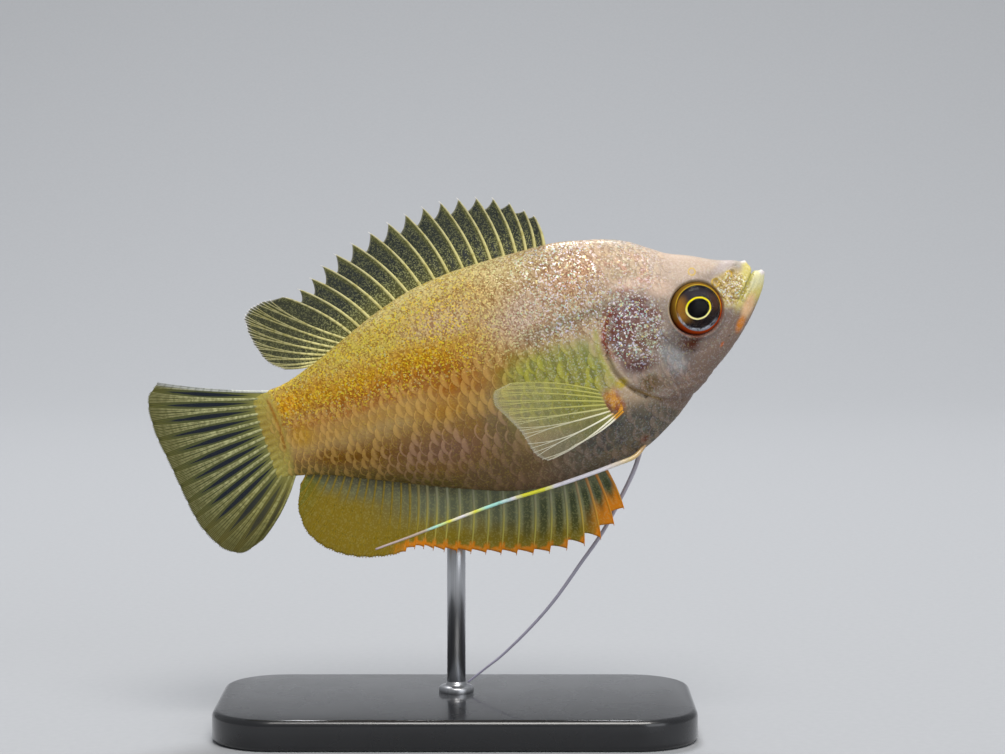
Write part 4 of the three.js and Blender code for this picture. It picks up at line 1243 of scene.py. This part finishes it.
DORSAL_SPINES, DORSAL_SOFT = 17, 8
DORSAL_NOTCH = 0.76
dorsal_base = profile([[0, 19.3], [3, 22.1], [6, 26], [11, 33.2], [16, 39.6], [24, 44.3]])
dorsal_tip_a = profile([
    [0, 19.4], [1, 20.15], [3, 22.65], [6, 27.6], [9, 33], [12, 38.7], [16, 44.6], [17, 46.6],
    [18, 47.95], [19, 48.8], [20, 48.85], [22, 48.3], [24, 46.7],
])
dorsal_tip_h = profile([
    [0, 12], [1, 12.8], [3, 14.85], [6, 16.05], [7, 16.1], [9, 15.7], [12, 14.4], [16, 12],
    [17, 12.15], [18, 11.9], [19, 11.1], [21, 8.5], [23, 6.1], [24, 5.4],
])
dorsal = fin_sheet(
    lambda ray: (dorsal_base(ray), back(dorsal_base(ray))),
    lambda ray: (dorsal_tip_a(ray), dorsal_tip_h(ray)),
    lambda ray: np.where(ray < DORSAL_SPINES - 0.5, -0.05, 0.03),
    lambda a, h, share: 0.5 * share * share * np.sin((a - 20) / 5),
)


def fin_finish(painter, rough=0.42):
    """Thin varnished finish. Its painter gives the colour, and the cover where the skin is clear,
    from the surface's place, its ray, its share of the ray's length and its way in from the
    edge."""
    varnish = {"Coat_Weight": 0.05, "Coat_Roughness": 0.2, "Specular_IOR_Level": 0.15}
    made, shader, wire = material(painter.__name__, Roughness=rough, **varnish)
    paint, cover = painter(in_millimetres(wire), *attribute(wire, "ray"))
    feed(shader, paint.colour, "Base Color")
    if cover:
        feed(shader, cover, "Alpha")
    return made


def speckle(place, scale):
    """Mask of fine round specks."""
    return glitter(place, scale)[0].rise(0.66, 0.78)


def dorsal_web_paint(place, ray, share, inside):
    """Dark skin, blue between the front spines and paler at its foot and behind each spine, with
    fine pale specks."""
    gap = between_rays(ray)
    paint = Layers(noise(place, 1.2, 3.0).blend((34, 40, 42), (56, 60, 46)))
    paint.lay(share.rise(0.34, 0) * 0.7, (104, 102, 48))
    paint.lay(gap * share.rise(0.3, 0.14) * ray.rise(13, 6) * 0.7, (24, 34, 62))
    behind = ray.math("FRACT").rise(0.36, 0)
    paint.lay(behind * 0.6, (112, 110, 46))
    paint.lay(ray.rise(14, 18) * 0.4, (78, 76, 34))
    dots = speckle(place, 11.0) * (0.25 + share.rise(0.5, 0.1) * 0.4)
    paint.lay(dots, (176, 176, 116))
    paint.lay(inside.rise(0.03, 0.0) * 0.35, (190, 186, 160))
    return paint, 0.94 - gap * 0.06


def dorsal_ray_paint(place, ray, share, inside):
    """Pale yellow rods with whitish tips, and dark joints along the soft rays."""
    paint = Layers(share.rise(0.1, 0.9).blend((214, 206, 140), (186, 180, 136)))
    paint.lay(noise(place, 2.0, 3.0).rise(0.45, 0.7) * 0.5, (150, 138, 44))
    paint.lay(ray.rise(15.5, 17.5) * share.rise(0.2, 0.6) * 0.5, (112, 108, 54))
    paint.lay(share.rise(0.93, 0.99) * 0.7, (232, 230, 236))
    joint = ((share * 60).math("SINE") * ray.rise(15.6, 16)).rise(0.5, 1)
    paint.lay(joint * 0.35, OLIVE)
    return paint, None


groups = [(DORSAL_SPINES, [], 0.17), (DORSAL_SOFT, [0.35, 0.68], 0.14, 0.55)]
reach = spiny_reach(DORSAL_SPINES, lambda spine: DORSAL_NOTCH)
fin("dorsal", dorsal, groups, reach, [fin_finish(dorsal_ray_paint), fin_finish(dorsal_web_paint)])


# Anal fin
# Seventeen spines, each with an orange tip that stands out of the margin, and thirteen soft rays
# in an olive lobe at the rear. It stands along the whole belly edge.
ANAL_SPINES, ANAL_SOFT = 17, 13
ANAL_ORANGE, ANAL_OLIVE, ANAL_GREY = (206, 122, 6), (124, 106, 10), (98, 102, 78)

anal_base = profile([[0, 20.3], [4, 24.6], [8, 30.4], [12, 35.4], [16, 38.7], [29, 47.9]])
anal_tip_a = profile([
    [0, 19.8], [1, 21.2], [2, 22.85], [3, 24.55], [5, 28], [8, 32.5], [12, 37.6], [16, 41.1],
    [18, 43.3], [20, 45.6], [22, 47.5], [24, 48.95], [26, 49.7], [27, 49.7], [29, 48.7],
])
anal_tip_h = profile([
    [0, -17.6], [1, -18.85], [2, -19.8], [3, -19.9], [5, -19.58], [8, -18.25], [12, -16.22],
    [15, -15.05], [17, -14.95], [19, -14.5], [21, -13.6], [23, -12.3], [25, -10.6], [27, -8.3],
    [29, -5.7],
])
anal_notch = profile([[0, 0.73], [3, 0.8], [6, 0.9], [16, 0.94]])
anal = fin_sheet(
    lambda ray: (anal_base(ray), belly(anal_base(ray))),
    lambda ray: (anal_tip_a(ray), anal_tip_h(ray)),
    lambda ray: 0.03,
    lambda a, h, share: 0.45 * share * share * np.sin((a - 22) / 4.5),
)


def anal_web_paint(place, ray, share, inside):
    """Grey skin with dark gaps in front, an olive lobe behind, and an orange margin that is broad
    at the first spines."""
    gap = between_rays(ray)
    drift = noise(place, 0.6, 3.0) - 0.5
    far = share + drift * 0.25
    paint = Layers(far.rise(0.3, 0.72).blend(ANAL_GREY, ANAL_OLIVE))
    paint.lay(ray.rise(13, 22) * far.rise(0.05, 0.4), (130, 108, 8))
    paint.lay(ray.rise(25, 29) * 0.7, (84, 96, 16))
    dark = gap.rise(0.3, 0.75) * share.rise(0.0, 0.25) * share.rise(0.9, 0.6) * ray.rise(11, 4)
    paint.lay(dark * 0.8, (44, 54, 6))
    pale = (1 - gap).rise(0.3, 0.8) * share.rise(0.75, 0.5) * ray.rise(18, 14) * ray.rise(1, 3)
    paint.lay(pale * 0.35, (164, 168, 120))
    margin = far.rise(0.86, 0.92) + (1 - gap).rise(0.45, 0.8) * far.rise(0.78, 0.86)
    paint.lay(margin * ray.rise(18, 15), ANAL_ORANGE)
    paint.lay((share + 0.2 - gap * 0.2).rise(0.4, 0.75) * ray.rise(3.2, 1.2), ANAL_ORANGE)
    paint.lay(share.rise(0.2, 0) * ray.rise(8, 14) * 0.6, (74, 60, 34))
    paint.lay(speckle(place, 8.0) * 0.18, (180, 176, 110))
    return paint, 0.95 - gap * 0.05


def anal_ray_paint(place, ray, share, inside):
    """Grey to yellow rods, orange at the first spines and at the margin."""
    paint = Layers(share.rise(0.1, 0.6).blend((140, 140, 112), (166, 156, 72)))
    paint.lay(ray.rise(12, 17) * 0.9, (134, 112, 20))
    paint.lay(ray.rise(4, 1) * 0.7, ANAL_ORANGE)
    paint.lay(share.rise(0.74, 0.9) * ray.rise(18, 15), ANAL_ORANGE)
    joint = ((share * 70).math("SINE") * ray.rise(15.6, 16)).rise(0.5, 1)
    paint.lay(joint * 0.3, OLIVE)
    return paint, None


groups = [(ANAL_SPINES, [], 0.16), (ANAL_SOFT, [0.4, 0.72], 0.12, 0.5)]
reach = spiny_reach(ANAL_SPINES, anal_notch)
fin("anal", anal, groups, reach, [fin_finish(anal_ray_paint), fin_finish(anal_web_paint)])


# Tail fin
# Fourteen soft rays, forked three times on their way to the rim, in a fan that grips the end of
# the body. Each ray's branches lie close together, so dark windows stay open between the rays.
TAIL_RAYS = 14
TAIL_ROOT = 48.9
TAIL_SPLITS = [0.03, 0.3, 0.6]
TAIL_SPREAD = 0.8
NAVY, TAIL_OLIVE, TAIL_PALE = (18, 26, 42), (92, 96, 54), (184, 184, 134)

tail_tip_a = profile([
    [0, 58.7], [1, 60], [2, 60.45], [3, 60.54], [5, 60.2], [8, 59.7], [9, 59.4], [10, 58.8],
    [11, 57.85], [12, 56.2], [13, 54.1],
])
tail_tip_h = profile([
    [0, 7.85], [1, 6.8], [3, 3.45], [5, 0.1], [8, -4.9], [10, -8.1], [11, -9.6], [12, -10.45],
    [13, -9.85],
])
tail_bow = profile([[0, 0.02], [4, 0], [9, 0], [13, 0.055]])
tail = fin_sheet(
    lambda ray: (TAIL_ROOT, 3.75 - 8.35 * np.clip(ray, 0, TAIL_RAYS - 1) / (TAIL_RAYS - 1)),
    lambda ray: (tail_tip_a(ray), tail_tip_h(ray)),
    tail_bow,
    lambda a, h, share: share * share * (0.75 - 0.08 * h),
)


def tail_web_paint(place, ray, share, inside):
    """Olive skin with fine dark lines between the twigs. A dark window opens where the way from
    the rays and the room at that length of them come to more than 1."""
    gap = between_rays(ray)
    drift = noise(place, 0.5, 2.0) - 0.5
    paint = Layers(share.rise(0.0, 0.3).blend((150, 146, 78), TAIL_OLIVE))
    paint.lay(share.rise(0.75, 1.0) * 0.6, (104, 98, 40))
    paint.lay((ray + share * 3).rise(10, 14) * 0.6, (122, 110, 46))
    aside = (ray + 0.5).math("FRACT") - 0.5
    twig = between_rays(aside * 10 / (share | 0.2))
    lines = twig.rise(0.55, 0.15) * share.rise(0.3, 0.6)
    paint.lay(lines * (0.75 - share.rise(0.8, 1.0) * 0.3), (34, 38, 30))
    length = share + drift * 0.2
    room = length.rise(0.06, 0.46) * length.rise(0.98, 0.52)
    window = (gap + room * 0.42).rise(1.0, 1.12)
    paint.lay(window * (0.96 - ray.rise(9, 13) * 0.5), NAVY)
    paint.lay(ray.rise(0.14, 0) * 0.7, (190, 196, 204))
    return paint, 0.96 - window * 0.04


def tail_ray_paint(place, ray, share, inside):
    """Pale rods that turn olive towards the rim, with dark joints and a white upper edge."""
    paint = Layers(noise(place, 3.0, 3.0).rise(0.35, 0.65).blend((132, 132, 90), TAIL_PALE))
    paint.lay(ray.rise(7, 12) * 0.6, (148, 140, 66))
    paint.lay(share.rise(0.45, 0.95) * 0.75, (112, 108, 62))
    paint.lay(ray.rise(0.3, 0.05) * 0.6, (206, 210, 216))
    joint = (share * 90).math("SINE").rise(0.4, 1) * share.rise(0.1, 0.3)
    paint.lay(joint * 0.3, OLIVE)
    return paint, None


groups = [(TAIL_RAYS, TAIL_SPLITS, 0.15, 0.5, TAIL_SPREAD)]
fin("tail", tail, groups, even_reach, [fin_finish(tail_ray_paint), fin_finish(tail_web_paint)])


# Pectoral fins
# One clear fan on each flank, almost free of colour, that spreads backwards from a short orange
# root. Its ten rays fork twice, and the lowest are the whitest.
PECTORAL_RAYS = 10

pectoral_tip_a = profile([
    [0, 26.4], [1.5, 28], [3, 28.4], [4.5, 27.7], [6, 26.8], [7.2, 26.2], [8, 25], [9, 22.4],
])
pectoral_tip_h = profile([
    [0, -2.1], [1.5, -2.35], [3, -3.4], [4.5, -4.95], [6, -6.8], [7.2, -9.1], [8, -10.15],
    [9, -9.6],
])
pectoral_start = float(skin_half(np.array(PECTORAL_ROOT[0]), np.array(PECTORAL_ROOT[1])))


def pectoral_out(side):
    """The fan leaves the flank at half a slope behind its root, and curves back towards it."""
    def sway(a, h, share):
        behind, over = np.maximum(a - PECTORAL_ROOT[0], 0), h - PECTORAL_ROOT[1]
        return side * (pectoral_start + 0.5 * behind - 0.012 * behind**2 - 0.06 * over)

    return sway


def pectoral_web_paint(place, ray, share, inside):
    """Almost clear skin, a little fuller at its root and along its edge."""
    gap = between_rays(ray)
    edge = inside.rise(0.06, 0.0)
    paint = Layers(share.rise(0.2, 0.8).blend((176, 178, 84), (178, 174, 138)))
    paint.lay(edge, (196, 192, 176))
    cover = 0.16 + edge * 0.16 + share.rise(0.3, 0) * 0.2 - gap * 0.05
    return paint, cover


def pectoral_ray_paint(place, ray, share, inside):
    """Yellow to white rods, orange at their roots, that clear towards their tips."""
    paint = Layers(ray.rise(4, 7).blend((206, 202, 116), (238, 234, 214)))
    paint.lay(share.rise(0.08, 0), (216, 150, 50))
    cover = 0.35 + share.rise(0.75, 0.1) * (0.25 + ray.rise(4, 7) * 0.35)
    return paint, cover


pectoral_finishes = [fin_finish(pectoral_ray_paint, 0.3), fin_finish(pectoral_web_paint, 0.25)]
groups = [(PECTORAL_RAYS, [0.42, 0.7], 0.1, 0.45)]
pectoral_base = profile([[0, -6.2], [PECTORAL_RAYS - 1, -8.6]])
for word, side in SIDES.items():
    pectoral = fin_sheet(
        lambda ray: (PECTORAL_ROOT[0], pectoral_base(ray)),
        lambda ray: (pectoral_tip_a(ray), pectoral_tip_h(ray)),
        lambda ray: 0.05 * (ray / 4.5 - 1),
        pectoral_out(side),
    )
    fin("pectoral", pectoral, groups, even_reach, pectoral_finishes, "_" + word)


# Feelers
# The pelvic fins are single long threads, each one ray, rooted side by side under the breast. The
# right one trails back past the belly, and the left one hangs down on the far side.
FEELER_SIDES, FEELER_STEPS = 12, 140
FEELER_ROOT, FEELER_TIP, FEELER_TAPER = 0.23, 0.1, 1.3
FEELERS = {
    "right": [
        [15.6, -11.6, 0.7], [16.3, -12.4, 0.85], [17.4, -12.95, 1.35], [19.2, -13.05, 1.6],
        [22, -13.15, 1.8], [25.85, -13.2, 1.9], [30.85, -13.1, 2], [35.95, -13.3, 2.15],
        [40.05, -13.5, 2.4], [43.55, -13.58, 2.8],
    ],
    "left": [
        [15.6, -11.4, 0.7], [16.3, -12.4, 0.85], [17.6, -14.3, 1.1], [19.45, -16.35, 1.45],
        [22.4, -19.3, 1.95], [25.45, -21.7, 2.4], [28.9, -24.35, 2.9], [32.1, -26.35, 3.25],
        [35.5, -28.1, 3.6], [37.3, -28.8, 3.75], [39.6, -29.7, 4],
    ],
}
PEARL_WHITE, SHEEN_YELLOW, SHEEN_AQUA = (232, 228, 238), (232, 230, 50), (176, 236, 222)
FEELER_COLOURS = {
    "right": [
        (0.0, (178, 120, 62)), (0.1, (214, 190, 130)), (0.2, PEARL_WHITE), (0.36, PEARL_WHITE),
        (0.4, SHEEN_YELLOW), (0.48, SHEEN_YELLOW), (0.51, PEARL_WHITE), (0.56, SHEEN_AQUA),
        (0.6, SHEEN_AQUA), (0.64, SHEEN_YELLOW), (0.69, PEARL_WHITE), (0.74, SHEEN_YELLOW),
        (0.79, SHEEN_AQUA), (0.83, (186, 168, 150)), (1.0, (186, 168, 172)),
    ],
    "left": [(0.0, (150, 128, 116)), (0.12, (168, 164, 176)), (1.0, (150, 146, 168))],
}
for word, route in FEELERS.items():
    path = spline(route, FEELER_STEPS)[:, [0, 2, 1]] * np.array([1, SIDES[word], 1])
    run = np.append(0, np.cumsum(np.linalg.norm(np.diff(path, axis=0), axis=1)))
    run /= run[-1]
    radius = FEELER_ROOT + (FEELER_TIP - FEELER_ROOT) * run**FEELER_TAPER
    points, faces = rods(path[None], radius[None], FEELER_SIDES)
    gloss = {"Roughness": 0.3, "Coat_Weight": 0.6, "Coat_Roughness": 0.1}
    made, shader, wire = material("feeler_paint_" + word, **gloss)
    along = attribute(wire, "ray")[0]
    grain = noise(in_millimetres(wire), 1.6, 3.0) - 0.5
    colour = wire.node("ShaderNodeValToRGB", {0: along + grain * 0.05}, stops=FEELER_COLOURS[word])
    feed(shader, (grain.rise(0.05, 0.25) * 0.3).blend(colour, (120, 108, 112)), "Base Color")
    marks = np.repeat(np.stack([run, run, run], -1), FEELER_SIDES, axis=0)
    fin_piece("feeler_thread_" + word, (points, faces, marks), made, "feeler_" + word, "feeler")


# Stand
# A black acrylic plate with polished rounded edges, and a brushed steel rod that rises beside the
# anal fin. A turned collar closes the hole at its foot, and a clear soft sleeve holds the belly.
PLATE = np.array([46.0, 24.0])
PLATE_HIGH, PLATE_CORNER, PLATE_EDGE = 3.0, 6.0, 0.6
EDGE_STEPS, CORNER_STEPS = 7, 17
ROD_RADIUS, ROD_Y, ROD_FOOT = 0.9, 2.3, 1.8
LATHE_SIDES = 64
rod_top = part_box("stand_rod")[1][2] * 1000


def plate_shape():
    """Rounded rectangle carried up a profile: under and upper edge are quarter circles of radius
    PLATE_EDGE, and the two ends are flat."""
    turn = np.linspace(0, np.pi / 2, EDGE_STEPS)
    inset = PLATE_EDGE * np.concatenate([1 - np.sin(turn), 1 - np.cos(turn)])
    under, over = PLATE_EDGE * (1 - np.cos(turn)), PLATE_EDGE * (1 - np.sin(turn))
    height = np.concatenate([under, PLATE_HIGH - over])
    angle = (np.arange(4)[:, None] + np.linspace(0, 1, CORNER_STEPS)) * np.pi / 2
    corner = np.array([[1, 1], [-1, 1], [-1, -1], [1, -1]])[:, None] * (PLATE / 2 - PLATE_CORNER)
    facing = np.stack([np.cos(angle), np.sin(angle)], -1)
    outline = (corner + facing * PLATE_CORNER).reshape(-1, 2)
    flat = outline[None] - inset[:, None, None] * facing.reshape(-1, 2)
    up = np.broadcast_to(height[:, None, None], (*flat.shape[:2], 1))
    points = np.concatenate([flat, up], -1)
    i, j = quads(len(height), len(outline), ring=True)
    around = np.arange(len(outline))
    ends = np.stack([around[::-1], (len(height) - 1) * len(outline) + around])
    return points.reshape(-1, 3) / 1000, [i * len(outline) + j % len(outline), ends]


def lathe(name, line, finish, node):
    """Turned part on the rod's axis."""
    points, faces = spin(line, LATHE_SIDES)
    made = piece(name, (points + np.array([0, ROD_Y, 0])) / 1000, faces)
    hang(made, node, node, finish=finish)


acrylic, shader, wire = material("black_acrylic", Coat_Weight=0.5, Coat_Roughness=0.06)
haze = noise(in_millimetres(wire), 0.25, 4.0)
feed(shader, haze.blend((14, 15, 18), (24, 25, 29)), "Base Color")
feed(shader, 0.2 + haze * 0.14, "Roughness")
steel, shader, wire = material("brushed_steel", Metallic=1.0)
stretch = {"Vector": in_millimetres(wire), "Scale": (9, 9, 0.12)}
lines = noise(wire.node("ShaderNodeMapping", stretch), 1.0, 4.0)
feed(shader, lines.blend((150, 152, 156), (206, 207, 210)), "Base Color")
feed(shader, 0.22 + lines * 0.2, "Roughness")
sleeve, shader, wire = material("clear_sleeve", IOR=1.42)
frost = noise(in_millimetres(wire), 2.0, 3.0)
feed(shader, frost.blend((196, 200, 204), (222, 224, 226)), "Base Color")
feed(shader, 0.25 + frost * 0.2, "Roughness")
feed(shader, 0.4 + frost * 0.25, "Alpha")

points, faces = plate_shape()
plate = piece("base_plate", points, faces)
hang(plate, "stand_base", "stand_base", finish=acrylic)
lathe("rod", [
    [0, ROD_FOOT], [ROD_RADIUS, ROD_FOOT], [ROD_RADIUS, rod_top], [0, rod_top],
], steel, "stand_rod")
lathe("foot_collar", [
    [0, 2.6], [1.6, 2.6], [1.68, 3], [1.7, 3.08], [1.7, 3.42], [1.66, 3.52], [1.56, 3.6],
    [1.15, 3.68], [1.02, 3.76], [0.95, 3.9], [0.94, 4.05], [0.6, 4.1], [0, 4.1],
], steel, "stand_rod")
lathe("belly_sleeve", [
    [0, rod_top - 2.2], [1.0, rod_top - 2.2], [1.08, rod_top - 2.1], [1.12, rod_top - 1.2],
    [1.2, rod_top - 0.3], [1.2, rod_top + 0.2], [0, rod_top + 0.2],
], sleeve, "stand_rod")
